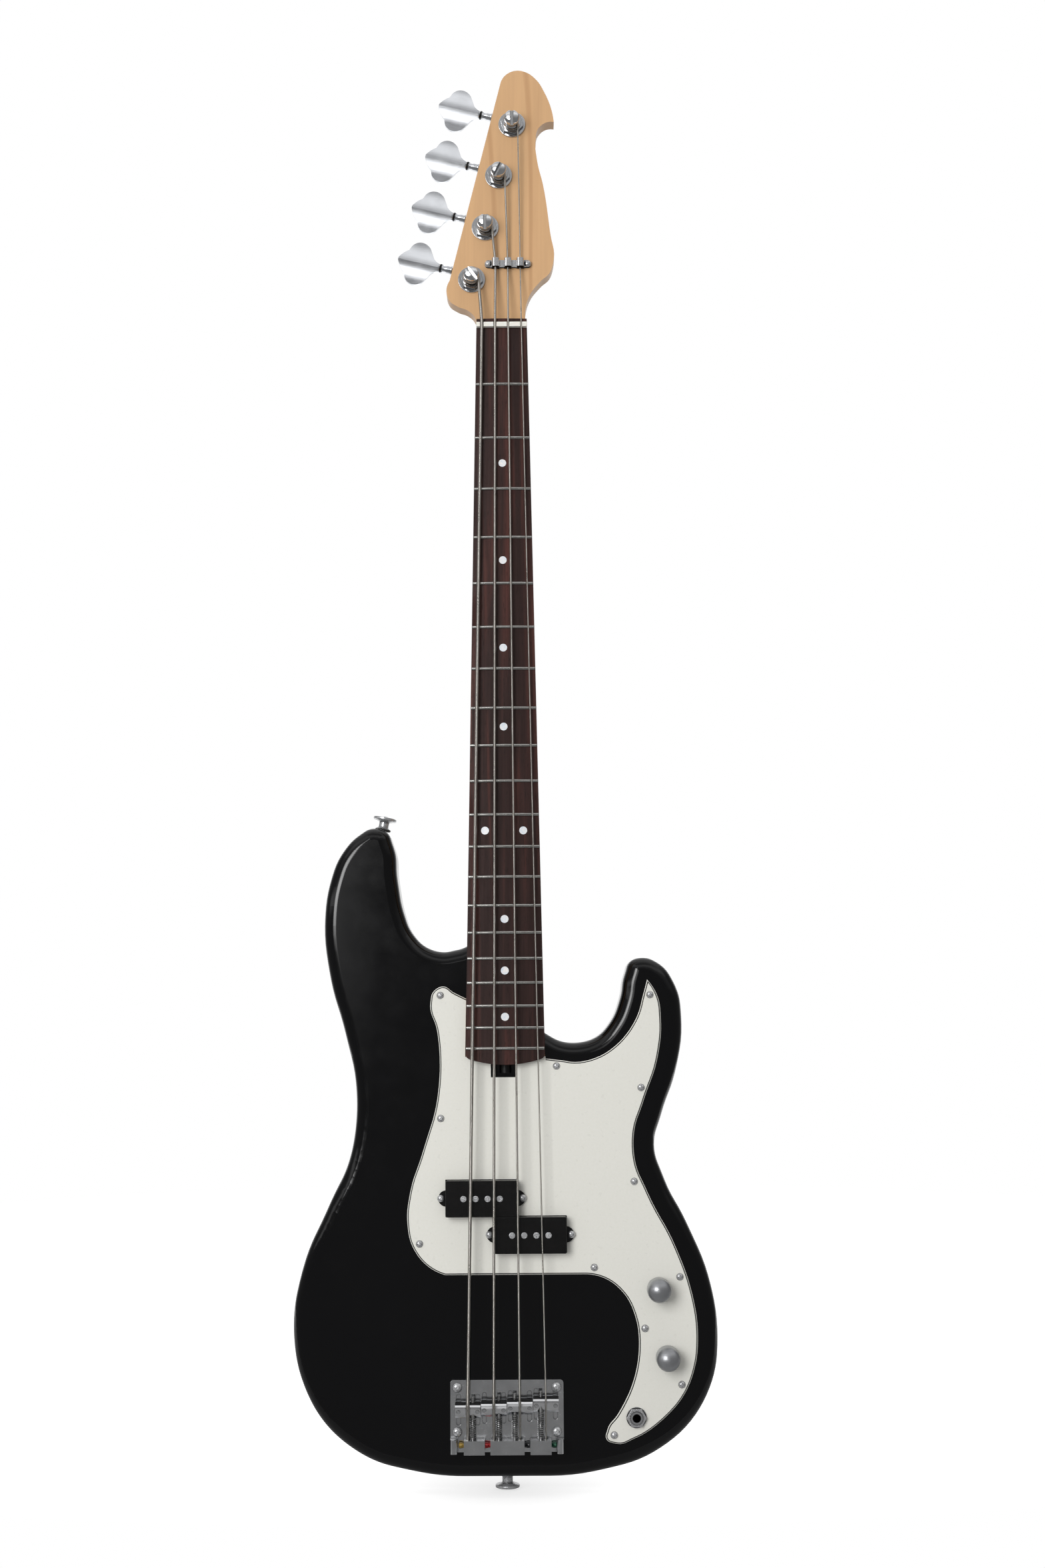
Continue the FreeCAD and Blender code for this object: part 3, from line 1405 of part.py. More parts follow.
def saddle_front(name):
    return f"(bridge_inset + break_{name} + saddle_lead)"


def adjuster_across(number):
    """The adjusting screw stands on the inner side of its string."""
    side = "+" if number < len(STRINGS) / 2 else "-"
    return f"({string_across(number, 'bridge_spacing')} {side} adjuster_offset)"


def bridge_screw_places():
    return [
        (f"({side}bridge_screw_x)", f"(bridge_inset {end})")
        for side in ("-", "") for end in ("+ bridge_screw_front", "- bridge_screw_back")
    ]


def make_bridge_plate():
    """Plate with hooded tabs over the ball ends, round end blocks and grooves for the grub screws."""
    owner = new_body("bridge_plate")
    half = "bridge_width / 2"
    back = "(bridge_inset - bridge_back)"
    base = sketch(owner, "XZ_Plane", BODY_FRONT)
    rectangle(base, (f"-{half}", back), (half, "bridge_inset + bridge_front"))
    pad(owner, base, "plate_thickness")
    dress(owner, "Fillet", lambda edge: runs_along(edge, Vector(0, 1, 0)), "plate_round")
    tabs = [tuple(f"({share} * {half})" for share in pair) for pair in TAB_SHARES]
    walls = sketch(owner, "XZ_Plane", PLATE_TOP)
    roofs = sketch(owner, "XZ_Plane", f"{PLATE_TOP} + wall_height - roof_thickness")
    for left, right in tabs:
        rectangle(walls, (left, f"{WALL_FRONT} - wall_thickness"), (right, WALL_FRONT))
        rectangle(roofs, (left, back), (right, WALL_FRONT))
    pad(owner, walls, "wall_height")
    pad(owner, roofs, "roof_thickness")
    ends = sketch(owner, "XZ_Plane", PLATE_TOP)
    width = "2 * post_end_radius"
    for low, high in ((f"-{half}", f"-{half} + {width}"), (f"{half} - {width}", half)):
        rectangle(ends, (low, back), (high, WALL_FRONT))
    pad(owner, ends, "wall_height - post_end_radius")
    DOC.recompute()
    inner = value(f"{half} - {width}")
    block_top = value(f"{PLATE_TOP} + wall_height - post_end_radius")

    def end_edge(edge):
        centre = middle(edge)
        return runs_along(edge, UP) and abs(centre.x) > inner - 1e-3 and abs(centre.y + block_top) < 1e-3

    dress(owner, "Fillet", end_edge, f"post_end_radius * {END_ROUND_SHARE}")
    holes = sketch(owner, "XY_Plane", f"{WALL_FRONT} + cut_overrun")
    for number in range(len(STRINGS)):
        string_hole = (string_across(number, "bridge_spacing"), f"-({PLATE_TOP} + ball_level)")
        screw_hole = (adjuster_across(number), f"-({PLATE_TOP} + screw_level)")
        circle(holes, string_hole, "string_hole_radius")
        circle(holes, screw_hole, "adjuster_radius + running_gap")
    pocket(owner, holes, "wall_thickness + 2 * cut_overrun")
    grooves = sketch(owner, "XZ_Plane", PLATE_TOP)
    for number, name in enumerate(STRINGS):
        for side in ("-", "+"):
            across = f"({string_across(number, 'bridge_spacing')} {side} grub_offset)"
            stand = f"{saddle_front(name)} - {GRUB_SHARE} * saddle_length"
            ends = [(across, f"({stand} {end} groove_length / 2)") for end in ("-", "+")]
            capsule(grooves, *ends, "groove_width / 2")
    pocket(owner, grooves, "groove_depth")
    bores = sketch(owner, "XZ_Plane", PLATE_TOP)
    for where in bridge_screw_places():
        circle(bores, where, "bridge_screw_radius + bridge_hole_gap")
    pocket(owner, bores, "plate_thickness + cut_overrun")
    keep("bridge_plate", owner)
    master = screw("bridge_screw")
    copies("bridge_screws", master, [spot(x, PLATE_TOP, z) for x, z in bridge_screw_places()])


def make_saddle(number, name):
    """Saddle with its string notch and two grub screws, and the screw that draws it back."""
    across = string_across(number, "bridge_spacing")
    low = f"({PLATE_TOP} + saddle_lift)"
    apex = string_level(number, "bridge_action", "bridge_spacing")
    front = saddle_front(name)
    owner = new_body("saddle_block_" + name)
    profile = sketch(owner, "YZ_Plane", across)
    polygon(profile, [
        (f"-({low} + {up} * ({apex} - {low}))", f"({front} - {back} * saddle_length)")
        for back, up in SADDLE_SHARES
    ])
    pad(owner, profile, "saddle_width", both=True)
    notch = sketch(owner, "XY_Plane", f"{front} + cut_overrun")
    axis = Vector(value(across), -value(apex), 0)
    half = value(f"gauge_{name} / 2 + seat_gap")
    side, up = Vector(half, 0, 0), Vector(0, -value("cut_overrun"), 0)
    sink = Vector(0, value("saddle_notch"), 0)
    curves = [Part.Arc(axis + side + sink, axis + sink + Vector(0, half, 0), axis - side + sink)]
    corners = [axis - side + sink, axis - side + up, axis + side + up, axis + side + sink]
    for first, second in zip(corners, corners[1:]):
        curves += run([first, second])
    pocket(owner, curve_loop(notch, curves), "saddle_length + 2 * cut_overrun")
    bore = sketch(owner, "XY_Plane", f"{front} + cut_overrun")
    circle(bore, (adjuster_across(number), f"-({PLATE_TOP} + screw_level)"), "adjuster_radius + running_gap")
    pocket(owner, bore, "saddle_length + 2 * cut_overrun")
    stand = f"({front} - {GRUB_SHARE} * saddle_length)"
    wells = sketch(owner, "XZ_Plane", apex)
    grubs = []
    foot = f"({PLATE_TOP} - groove_depth + running_gap)"
    for end in ("-", "+"):
        x = f"({across} {end} grub_offset)"
        circle(wells, (x, stand), "grub_radius + running_gap")
        height = f"{low} + {GRUB_TOP_SHARE} * ({apex} - {low}) - {foot}"
        grubs.append(cylinder("grub_screw", "grub_radius", height, x, foot, stand))
    pocket(owner, wells, f"{apex} - {low} + cut_overrun")
    group("saddle_" + name, [owner] + grubs)

    length = f"(wall_thickness + running_gap + {front} + adjuster_tip - {WALL_FRONT})"
    bolt = turned_body("intonation_screw_" + name, [
        ("0", "-adjuster_head_length"), ("adjuster_head_radius", "-adjuster_head_length"),
        ("adjuster_head_radius", "0"), ("adjuster_radius", "0"), ("adjuster_radius", length), ("0", length),
    ])
    slot = sketch(bolt, "XY_Plane", "-adjuster_head_length")
    corner = ("2 * adjuster_head_radius", "adjuster_slot / 2")
    rectangle(slot, (f"-{corner[0]}", f"-{corner[1]}"), corner)
    pocket(bolt, slot, "adjuster_head_length / 2", back=True)
    start = f"{WALL_FRONT} - wall_thickness - running_gap"
    place(bolt, adjuster_across(number), f"{PLATE_TOP} + screw_level", start)
    keep("intonation_screw_" + name, bolt)


def helix_nodes(centre, radius, pitch, turns, start_angle, axes):
    """Points a quarter turn apart on a helix: axes are the start, the way round and the way up."""
    first, second, along = axes
    nodes = []
    steps = max(2, math.ceil(turns * 4))
    slope = pitch / (2 * math.pi * radius)
    for step in range(steps + 1):
        angle = start_angle + 2 * math.pi * turns * step / steps
        out = first * math.cos(angle) + second * math.sin(angle)
        round_way = second * math.cos(angle) - first * math.sin(angle)
        climb = along * (pitch * turns * step / steps)
        nodes.append((centre + out * radius + climb, Vector(round_way + along * slope).normalize()))
    return nodes


def least_gap(nodes, diameter, pitch):
    """Least clear gap between neighbouring turns, measured on points along the path."""
    wire = Part.Wire([curve.toShape() for curve in joined(nodes)])
    points = wire.discretize(Distance=diameter)
    least = pitch
    reach = math.ceil(2 * pitch / diameter) + 2
    for index, point in enumerate(points):
        for other in points[index + reach:]:
            least = min(least, (other - point).Length - diameter)
    return least


def make_springs():
    """One open coil spring round each adjusting screw, from the wall to the saddle."""
    springs = []
    for number, name in enumerate(STRINGS):
        wire = value("spring_wire")
        low = value(f"{WALL_FRONT} + spring_end_gap") + wire / 2
        high = value(f"{saddle_front(name)} - saddle_length - spring_end_gap") - wire / 2
        turns = max(1, math.floor((high - low) / value("spring_pitch")))
        pitch = (high - low) / turns
        centre = Vector(value(adjuster_across(number)), -value(f"{PLATE_TOP} + screw_level"), low)
        axes = (Vector(1, 0, 0), Vector(0, 1, 0), UP)
        nodes = helix_nodes(centre, value("spring_radius"), pitch, turns, 0, axes)
        springs.append(tube(joined(nodes), wire / 2))
        print("spring", name, "turns", turns, "least gap", round(least_gap(nodes, wire, pitch), 3))
    shape_part("saddle_springs", Part.makeCompound(springs))


# Tuners

def tuner_spot(number, forward="0", along="0", turned=Rotation()):
    """A placement by one tuner: X to the treble side, Y up the row of posts, Z to the front."""
    across, up = post_place(number)
    row = FRONTWARD.multiply(Rotation(UP, -value("post_lean")))
    frame = Placement(Vector(across, -value(HEAD_FACE), up), row)
    return frame.multiply(Placement(Vector(0, value(along), value(forward)), turned))


def tuner_post():
    """Slotted post with a domed cap, a waist for the string and a pin for the gear, and its nut."""
    back = GEAR_FRONT
    end = f"({GEAR_FRONT} - gear_thickness)"
    brim = "(post_top - post_dome - post_cap_height)"
    owner = new_body("tuner_post")
    outline = sketch(owner, "XZ_Plane")
    corners = [numbers(corner) for corner in (
        ("0", "post_top"), ("0", end), ("post_pin_radius", end), ("post_pin_radius", back),
        ("post_shank_radius", back), ("post_shank_radius", "post_base"),
        ("post_waist_radius", "post_base + post_flare"), ("post_waist_radius", f"{brim} - post_cap_slope"),
        ("post_cap_radius", brim), ("post_cap_radius", f"{brim} + post_cap_height"),
    )]
    curves = []
    for first, second in zip(corners, corners[1:]):
        curves += run([first, second])
    curves += biarc(corners[-1], Vector(0, 1, 0), corners[0], Vector(-1, 0, 0))
    turn(owner, curve_loop(outline, curves))
    slot = sketch(owner, "XY_Plane", "post_top")
    half = ("post_cap_radius + cut_overrun", "post_slot_width / 2")
    rectangle(slot, (f"-({half[0]})", f"-({half[1]})"), half)
    pocket(owner, slot, "post_slot_depth")
    return owner


def tuner_bushing():
    """Hexagon-headed sleeve through the headstock."""
    owner = new_body("tuner_bushing")
    sleeve = "(post_shank_radius + running_gap + bush_wall)"
    head = polygon(sketch(owner, "XY_Plane", "washer_thickness"), hexagon("bush_flat_radius / cos(30)"))
    pad(owner, head, "bush_head_height")
    barrel = circle(sketch(owner, "XY_Plane", "bush_stop - head_thickness"), ("0", "0"), sleeve)
    pad(owner, barrel, "head_thickness - bush_stop + washer_thickness + bush_head_height + bush_crown")
    bore = circle(sketch(owner, "XY_Plane", "post_top"), ("0", "0"), "post_shank_radius + running_gap")
    pocket(owner, bore, "post_top + head_thickness")
    return owner


def tuner_plate():
    """Base plate with two ears that carry the worm."""
    owner = new_body("tuner_plate")
    low = ("(-tuner_plate_width / 2 - tuner_plate_skew)", "(tuner_plate_shift - tuner_plate_length / 2)")
    high = ("(tuner_plate_width / 2 - tuner_plate_skew)", "(tuner_plate_shift + tuner_plate_length / 2)")
    back = "(-head_thickness - tuner_plate_thickness)"
    pad(owner, rectangle(sketch(owner, "XY_Plane", back), low, high), "tuner_plate_thickness")
    dress(owner, "Fillet", lambda edge: runs_along(edge, UP), "tuner_plate_round")
    worm = f"({WORM_LEVEL} - {HEAD_FACE})"
    drop = f"({back} - {worm} + worm_shaft_radius + bracket_margin)"
    ears = sketch(owner, "XY_Plane", back)
    near, far = f"{WORM_OFFSET} - bracket_width / 2", f"{WORM_OFFSET} + bracket_width / 2"
    rectangle(ears, ("ear_inner", near), ("ear_inner + bracket_thickness", far))
    rectangle(ears, ("-ear_inner - bracket_thickness", near), ("-ear_inner", far))
    pad(owner, ears, drop, back=True)
    end = value(f"{back} - {drop}")

    def ear_corner(edge):
        return runs_along(edge, Vector(1, 0, 0)) and abs(middle(edge).z - end) < 1e-4

    dress(owner, "Fillet", ear_corner, "tuner_plate_round")
    bore = circle(sketch(owner, "YZ_Plane"), (WORM_OFFSET, worm), "worm_shaft_radius + running_gap")
    pocket(owner, bore, "tuner_plate_length", both=True)
    holes = sketch(owner, "XY_Plane")
    circle(holes, ("0", "0"), "post_shank_radius + running_gap")
    for where in tuner_screw_places():
        circle(holes, where, "tuner_screw_hole")
    pocket(owner, holes, "head_thickness + tuner_plate_thickness + seat_gap")
    return owner


def tuner_screw_places():
    across = "(tuner_plate_width / 2 - tuner_screw_inset)"
    along = "(tuner_plate_length / 2 - tuner_screw_inset)"
    return [
        (f"({side}{across} - tuner_plate_skew)", f"(tuner_plate_shift {end} {along})")
        for side in ("-", "") for end in ("-", "+")
    ]


def tuner_gear():
    """Wheel with straight teeth, one of them pointing at the worm."""
    owner = new_body("tuner_gear")
    outline = sketch(owner, "XY_Plane", f"{GEAR_FRONT} - gear_thickness")
    pitch_radius = value("gear_module") * GEAR_TEETH / 2
    half = TOOTH_SHARE * math.pi * value("gear_module") / 2
    flank = math.tan(math.radians(FLANK_ANGLE))
    tip, root = pitch_radius + value("tooth_rise"), pitch_radius - value("tooth_root")
    tip_half = (half - value("tooth_rise") * flank) / tip
    root_half = (half + value("tooth_root") * flank) / root
    corners = []
    for tooth in range(GEAR_TEETH):
        middle_angle = math.pi / 2 + 2 * math.pi * tooth / GEAR_TEETH
        for radius, angle in ((root, -root_half), (tip, -tip_half), (tip, tip_half), (root, root_half)):
            turned = middle_angle + angle
            corners.append(Vector(radius * math.cos(turned), radius * math.sin(turned), 0))
    for before, after in zip(corners, corners[1:] + corners[:1]):
        curve_loop(outline, run([before, after]))
    circle(outline, ("0", "0"), "post_pin_radius")
    pad(owner, outline, "gear_thickness")
    return owner


def tuner_worm():
    """Worm on its shaft: right-handed, with a gap between threads facing the wheel's middle."""
    root = "(worm_pitch_radius - worm_root)"
    neck = "(ear_inner - worm_margin)"
    owner = turned_body("tuner_worm", [
        ("0", "-worm_end"), ("worm_shaft_radius", "-worm_end"), ("worm_shaft_radius", f"-{neck}"),
        (root, f"-{neck}"), (root, neck), ("worm_shaft_radius", neck), ("worm_shaft_radius", "collar_start"),
        ("0", "collar_start"),
    ])
    pitch = f"({math.pi} * gear_module)"
    start = f"(-{WORM_TURNS / 2} * {pitch})"
    flank = math.tan(math.radians(FLANK_ANGLE))
    half = f"({THREAD_SHARE / 2} * {pitch})"
    foot = "(worm_pitch_radius - worm_root - running_gap)"
    foot_half = f"({half} + {flank} * (worm_root + running_gap))"
    tip_half = f"({half} - {flank} * worm_rise)"
    tip = "(worm_pitch_radius + worm_rise)"
    profile = polygon(sketch(owner, "XZ_Plane"), [
        (foot, f"{start} - {foot_half}"), (tip, f"{start} - {tip_half}"),
        (tip, f"{start} + {tip_half}"), (foot, f"{start} + {foot_half}"),
    ])
    thread = owner.newObject("PartDesign::AdditiveHelix", "thread")
    thread.Profile = profile
    thread.ReferenceAxis = (profile, ["V_Axis"])
    thread.Mode = "pitch-turns-angle"
    bind(thread, "Pitch", pitch)
    thread.Turns = WORM_TURNS
    return owner


def mirrored(points):
    """The points in reverse, on the other side of the middle line."""
    return [Vector(-point.x, point.y, 0) for point in reversed(points)]


def tuner_key():
    """Key with two lobes folded back from a ridge, its collar and a dark washer."""
    start = "(collar_start + key_washer_length)"
    end = f"({start} + collar_length)"
    owner = turned_body("tuner_key", [
        ("0", start), ("collar_radius", start), ("collar_radius", f"{start} + collar_length / 3"),
        ("collar_waist", f"{start} + collar_length / 2"), ("collar_waist", f"{end} - collar_radius / 2"),
        ("key_neck", end), ("0", end),
    ])
    blade = sketch(owner, "XY_Plane", f"{end} - collar_radius")
    half, fold, thick = value("key_width / 2"), value("key_fold"), value("key_thickness / 2")
    face = [Vector(half * side, -fold * abs(side) * (2 - abs(side)), 0) for side in (-1, -0.5, 0)]
    other = mirrored(face)
    front, back = Vector(0, thick, 0), Vector(0, -thick, 0)
    outer = [Part.Arc(*[point + front for point in face]), Part.Arc(*[point + front for point in other])]
    inner = [Part.Arc(*[point + back for point in face]), Part.Arc(*[point + back for point in other])]
    ends = [Part.LineSegment(point + front, point + back) for point in (face[0], other[-1])]
    curve_loop(blade, outer + inner + ends)
    pad(owner, blade, "key_length + collar_radius")

    trim = sketch(owner, "XZ_Plane")
    base, length = value(end), value("key_length")
    lobe = [Vector(half * across, base + length * along, 0) for along, across in KEY_SHARES]
    tip = [Vector(half * across, base + length * along, 0) for along, across in KEY_TIP_SHARES]
    low = Vector(lobe[0].x, base - 2 * value("collar_radius"), 0)
    crown = tip + mirrored(tip[:-1])
    other_lobe, other_low = mirrored(lobe), Vector(-low.x, low.y, 0)
    side = run([low, lobe[0]]) + run(lobe) + run([lobe[-1], tip[0]]) + run(crown)
    side += run([crown[-1], other_lobe[0]]) + run(other_lobe) + run([other_lobe[-1], other_low])
    over, top = value("key_width"), base + 2 * length
    around = [(-over, low.y), (-over, top), (over, top), (over, low.y)]
    corners = [other_low] + [Vector(*corner, 0) for corner in around] + [low]
    for first, second in zip(corners, corners[1:]):
        side += run([first, second])
    curve_loop(trim, side)
    pocket(owner, trim, "2 * key_width", both=True)
    return owner


def piece(label, radius, height, base):
    """A plain disc about the Z axis."""
    item = DOC.addObject("Part::Cylinder", label)
    bind(item, "Radius", radius)
    bind(item, "Height", height)
    bind(item, "Placement.Base.z", base)
    return item


def pair(label, first, second):
    item = DOC.addObject("Part::Compound", label)
    item.Links = [first, second]
    return item


def make_tuners():
    gear_back = f"({GEAR_FRONT} - gear_thickness)"
    nut = piece("post_nut", "post_nut_radius", "post_nut_height", f"{gear_back} - post_nut_height")
    post = pair("post_and_nut", tuner_post(), nut)
    disc = piece("key_washer", "key_washer_radius", "key_washer_length", "collar_start")
    key = pair("key_and_washer", tuner_key(), disc)
    bushing, plate, gear, worm = tuner_bushing(), tuner_plate(), tuner_gear(), tuner_worm()
    sleeve = "post_shank_radius + running_gap + bush_wall"
    ring = washer("tuner_washer", "washer_radius", "washer_thickness", sleeve)
    rows = range(len(STRINGS))
    for label, master in (("tuner_bushings", bushing), ("tuner_washers", ring), ("tuner_plates", plate)):
        copies(label, master, [tuner_spot(number) for number in rows])
    fixing = screw("tuner_screw")
    back = value("-head_thickness - tuner_plate_thickness")
    places = []
    for number in rows:
        for where in tuner_screw_places():
            seat = Placement(numbers(where) + Vector(0, 0, back), Rotation(Vector(1, 0, 0), 180))
            places.append(tuner_spot(number).multiply(seat))
    copies("tuner_screws", fixing, places)
    worm_level = f"{WORM_LEVEL} - {HEAD_FACE}"
    for number, name in enumerate(STRINGS):
        spin = Rotation(UP, SLOT_ANGLES[name] + value("post_lean"))
        copies("string_post_" + name, post, [tuner_spot(number, turned=spin)])
        copies("tuner_gear_" + name, gear, [tuner_spot(number)])
        copies("tuner_worm_" + name, worm, [tuner_spot(number, worm_level, WORM_OFFSET, KEYWARD)])
        copies("tuner_key_" + name, key, [tuner_spot(number, worm_level, WORM_OFFSET, KEYWARD)])


# Strings, retainer, strap buttons and small screws

def hook_across(number):
    return f"(retainer_x + {number - 2} * retainer_pitch)"


def retainer_screw_places():
    height = f"({NUT_Z} + retainer_z)"
    return [(f"(retainer_x {side} retainer_screw)", height) for side in ("-", "+")]


def hooked_level(name):
    """Level of a string's axis under its hook."""
    return f"({HEAD_FACE} + retainer_base + hook_floor + gauge_{name} / 2)"


def make_retainer():
    """Bar across the headstock with a hook over each of three strings."""
    owner = new_body("string_retainer")
    height = f"({NUT_Z} + retainer_z)"
    reach = "(retainer_length / 2 - retainer_width / 2)"
    bar = sketch(owner, "XZ_Plane", HEAD_FACE)
    capsule(bar, (f"retainer_x - {reach}", height), (f"retainer_x + {reach}", height), "retainer_width / 2")
    pad(owner, bar, "retainer_base")
    hooks = sketch(owner, "XZ_Plane", HEAD_FACE)
    for number in range(1, len(STRINGS)):
        block(hooks, (hook_across(number), height), "hook_width", "hook_length")
    pad(owner, hooks, "hook_height")

    def crest(edge):
        return at_level(edge, f"{HEAD_FACE} + hook_height") and runs_along(edge, UP)

    dress(owner, "Fillet", crest, "hook_round")
    tunnels = sketch(owner, "XY_Plane", f"{height} + hook_length")
    floor = -value(f"{HEAD_FACE} + retainer_base")
    for number, name in enumerate(STRINGS[1:], start=1):
        half = value(f"gauge_{name} / 2 + hook_gap")
        axis = Vector(value(hook_across(number)), -value(hooked_level(name)), 0)
        side = Vector(half, 0, 0)
        right, left = Vector(axis.x + half, floor, 0), Vector(axis.x - half, floor, 0)
        curves = [Part.Arc(axis + side, axis - Vector(0, half, 0), axis - side)]
        curves += run([axis - side, left]) + run([left, right]) + run([right, axis + side])
        curve_loop(tunnels, curves)
    pocket(owner, tunnels, "2 * hook_length")
    bores = sketch(owner, "XZ_Plane", f"{HEAD_FACE} + retainer_base")
    for where in retainer_screw_places():
        circle(bores, where, "trim_hole")
    pocket(owner, bores, "retainer_base + cut_overrun")
    keep("string_retainer", owner)


def make_string(number, name):
    """A wound string from its ball end over the saddle and the nut to its turns round the post."""
    gauge = value(f"gauge_{name}")
    lean = value("ball_margin") + gauge / 6
    wall = value(f"{WALL_FRONT} - wall_thickness")
    across = value(string_across(number, "bridge_spacing"))
    seat = -value(f"{PLATE_TOP} + ball_level")
    saddle_level = string_level(number, "bridge_action", "bridge_spacing")
    nut_level = string_level(number, "nut_action", "nut_spacing")
    nut_across = value(string_across(number, "nut_spacing"))
    points = [
        Vector(across, seat, wall + lean),
        Vector(across, -value(saddle_level), value(f"bridge_inset + break_{name}")),
        Vector(nut_across, -value(nut_level), value(f"{NUT_Z} + nut_thickness")),
    ]
    if number:
        hook = Vector(value(hook_across(number)), -value(hooked_level(name)), value(f"{NUT_Z} + retainer_z"))
        points.append(hook)

    clear = value("wind_clearance")
    wind = value("post_waist_radius") + clear + gauge / 2
    waist = "post_top - post_dome - post_cap_height - post_cap_slope - post_base - post_flare"
    pitch = gauge + value("wind_gap")
    turns = (value(waist) - 2 * clear - gauge) / pitch
    post_across, post_up = post_place(number)
    level = value(f"{HEAD_FACE} + post_base + post_flare") + clear + gauge / 2
    centre = Vector(post_across, -level, post_up)
    away = points[-1] - centre
    meets = math.atan2(away.z, away.x) + math.acos(wind / math.hypot(away.x, away.z))
    axes = (Vector(1, 0, 0), UP, Vector(0, -1, 0))
    turns_round = helix_nodes(centre, wind, pitch, turns, meets, axes)
    points.append(turns_round[0][0])
    nodes = path_along(points, value("bend_radius")) + turns_round[1:]
    wire = tube(joined(nodes), gauge / 2)
    gap = least_gap(turns_round, gauge, pitch)
    print("string", name, "turns", round(turns, 2), "least gap", round(gap, 3))

    side = -1 if number < len(STRINGS) / 2 else 1
    margin = value("ball_margin")
    start = Vector(across - side * (gauge / 2 + margin), seat, wall - margin - value("ball_radius"))
    ball = Part.makeCylinder(value("ball_radius"), value("ball_length"), start, Vector(side, 0, 0))
    shape_part("string_" + name, Part.makeCompound([wire, ball]))


def make_strap_buttons():
    """Two strap buttons, each on a felt and held by a screw."""
    top = "(felt_thickness + button_height)"
    button = turned_body("strap_button", [
        ("button_hole", "felt_thickness"), ("button_foot_radius", "felt_thickness"),
        ("button_shaft_radius", "felt_thickness + button_cone_height"),
        ("button_shaft_radius", f"{top} - button_flange_height - button_cone_height"),
        ("button_flange_radius", f"{top} - button_flange_height"), ("button_flange_radius", top),
        ("button_hole", top),
    ])
    felt = washer("strap_felt", "felt_radius", "felt_thickness", "button_hole")
    fixing = screw("button_screw")
    across, up = on_body(HORN_BUTTON_SHARE)
    lift = Placement(Vector(0, 0, value("felt_lift")), Rotation())
    seats = [
        spot("0", "0", "0", Rotation(Vector(1, 0, 0), 180)).multiply(lift),
        spot(across, "0", up, Rotation(Vector(0, 1, 0), value("horn_button_lean"))).multiply(lift),
    ]
    raised = Placement(Vector(0, 0, value(top)), Rotation())
    copies("strap_buttons", button, seats)
    copies("strap_felts", felt, seats)
    copies("strap_button_screws", fixing, [seat.multiply(raised) for seat in seats])


def make_trim_screws():
    """The small screws of the guard, the pickups and the retainer."""
    master = screw("trim_screw")
    guard = [on_body(share) for share in GUARD_SCREW_SHARES]
    places = [spot(across, GUARD_TOP, up) for across, up in guard]
    places += [spot(across, f"{GUARD_TOP} + ear_thickness", up) for across, up in ear_places()]
    places += [spot(across, f"{HEAD_FACE} + retainer_base", up) for across, up in retainer_screw_places()]
    copies("trim_screws", master, places)


def main():
    make_body()
    make_pickguard()
    make_neck()
    make_fretboard()
    make_nut()
    make_truss_rod()
    make_neck_plate()
    make_pickups()
    make_controls()
    make_bridge_plate()
    make_springs()
    make_tuners()
    make_retainer()
    for number, name in enumerate(STRINGS):
        make_saddle(number, name)
        make_string(number, name)
    make_strap_buttons()
    make_trim_screws()
    DOC.recompute()
    for item in DOC.Objects:
        if "Invalid" in item.State or "Error" in item.State:
            raise RuntimeError(f"{item.Label} did not build: {item.State}")
    os.makedirs("parts", exist_ok=True)
    for label, item in PARTS.items():
        if item.Shape.isNull() or not item.Shape.isValid():
            raise RuntimeError(f"{label} has no valid shape")
        item.Shape.exportStep(f"parts/{label}.step")
    print(len(PARTS), "parts")


main()
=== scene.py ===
"""Finishes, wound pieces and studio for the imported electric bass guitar."""

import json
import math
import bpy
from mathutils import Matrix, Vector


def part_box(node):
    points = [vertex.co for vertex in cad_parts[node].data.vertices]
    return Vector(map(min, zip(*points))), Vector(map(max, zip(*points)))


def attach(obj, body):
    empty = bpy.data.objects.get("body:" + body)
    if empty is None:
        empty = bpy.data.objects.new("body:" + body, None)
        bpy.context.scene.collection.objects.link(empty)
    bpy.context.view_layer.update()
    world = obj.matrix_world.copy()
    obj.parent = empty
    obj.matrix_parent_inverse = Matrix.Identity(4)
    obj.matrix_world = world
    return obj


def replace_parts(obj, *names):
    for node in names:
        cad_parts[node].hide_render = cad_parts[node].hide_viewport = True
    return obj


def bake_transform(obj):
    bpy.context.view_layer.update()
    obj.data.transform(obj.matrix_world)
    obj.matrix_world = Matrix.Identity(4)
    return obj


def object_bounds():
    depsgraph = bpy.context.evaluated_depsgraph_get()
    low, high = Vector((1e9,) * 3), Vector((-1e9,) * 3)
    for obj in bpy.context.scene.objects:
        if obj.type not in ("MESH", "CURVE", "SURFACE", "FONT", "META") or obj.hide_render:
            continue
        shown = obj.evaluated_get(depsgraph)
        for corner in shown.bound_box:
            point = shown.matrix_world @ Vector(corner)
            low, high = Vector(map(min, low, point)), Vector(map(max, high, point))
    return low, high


bl_info = {
    "name": "Bass Guitar Dressing",
    "version": (1, 0, 0),
    "blender": (4, 5, 0),
    "location": "3D View > Sidebar > Bass",
    "description": "Dresses the packed bass guitar with finishes, wound pieces and a studio",
    "category": "Object",
}

from functools import partial

import bmesh
import bpy
from bpy.props import FloatProperty, FloatVectorProperty, PointerProperty
from bpy.types import Operator, Panel, PropertyGroup
from mathutils import Matrix, Vector

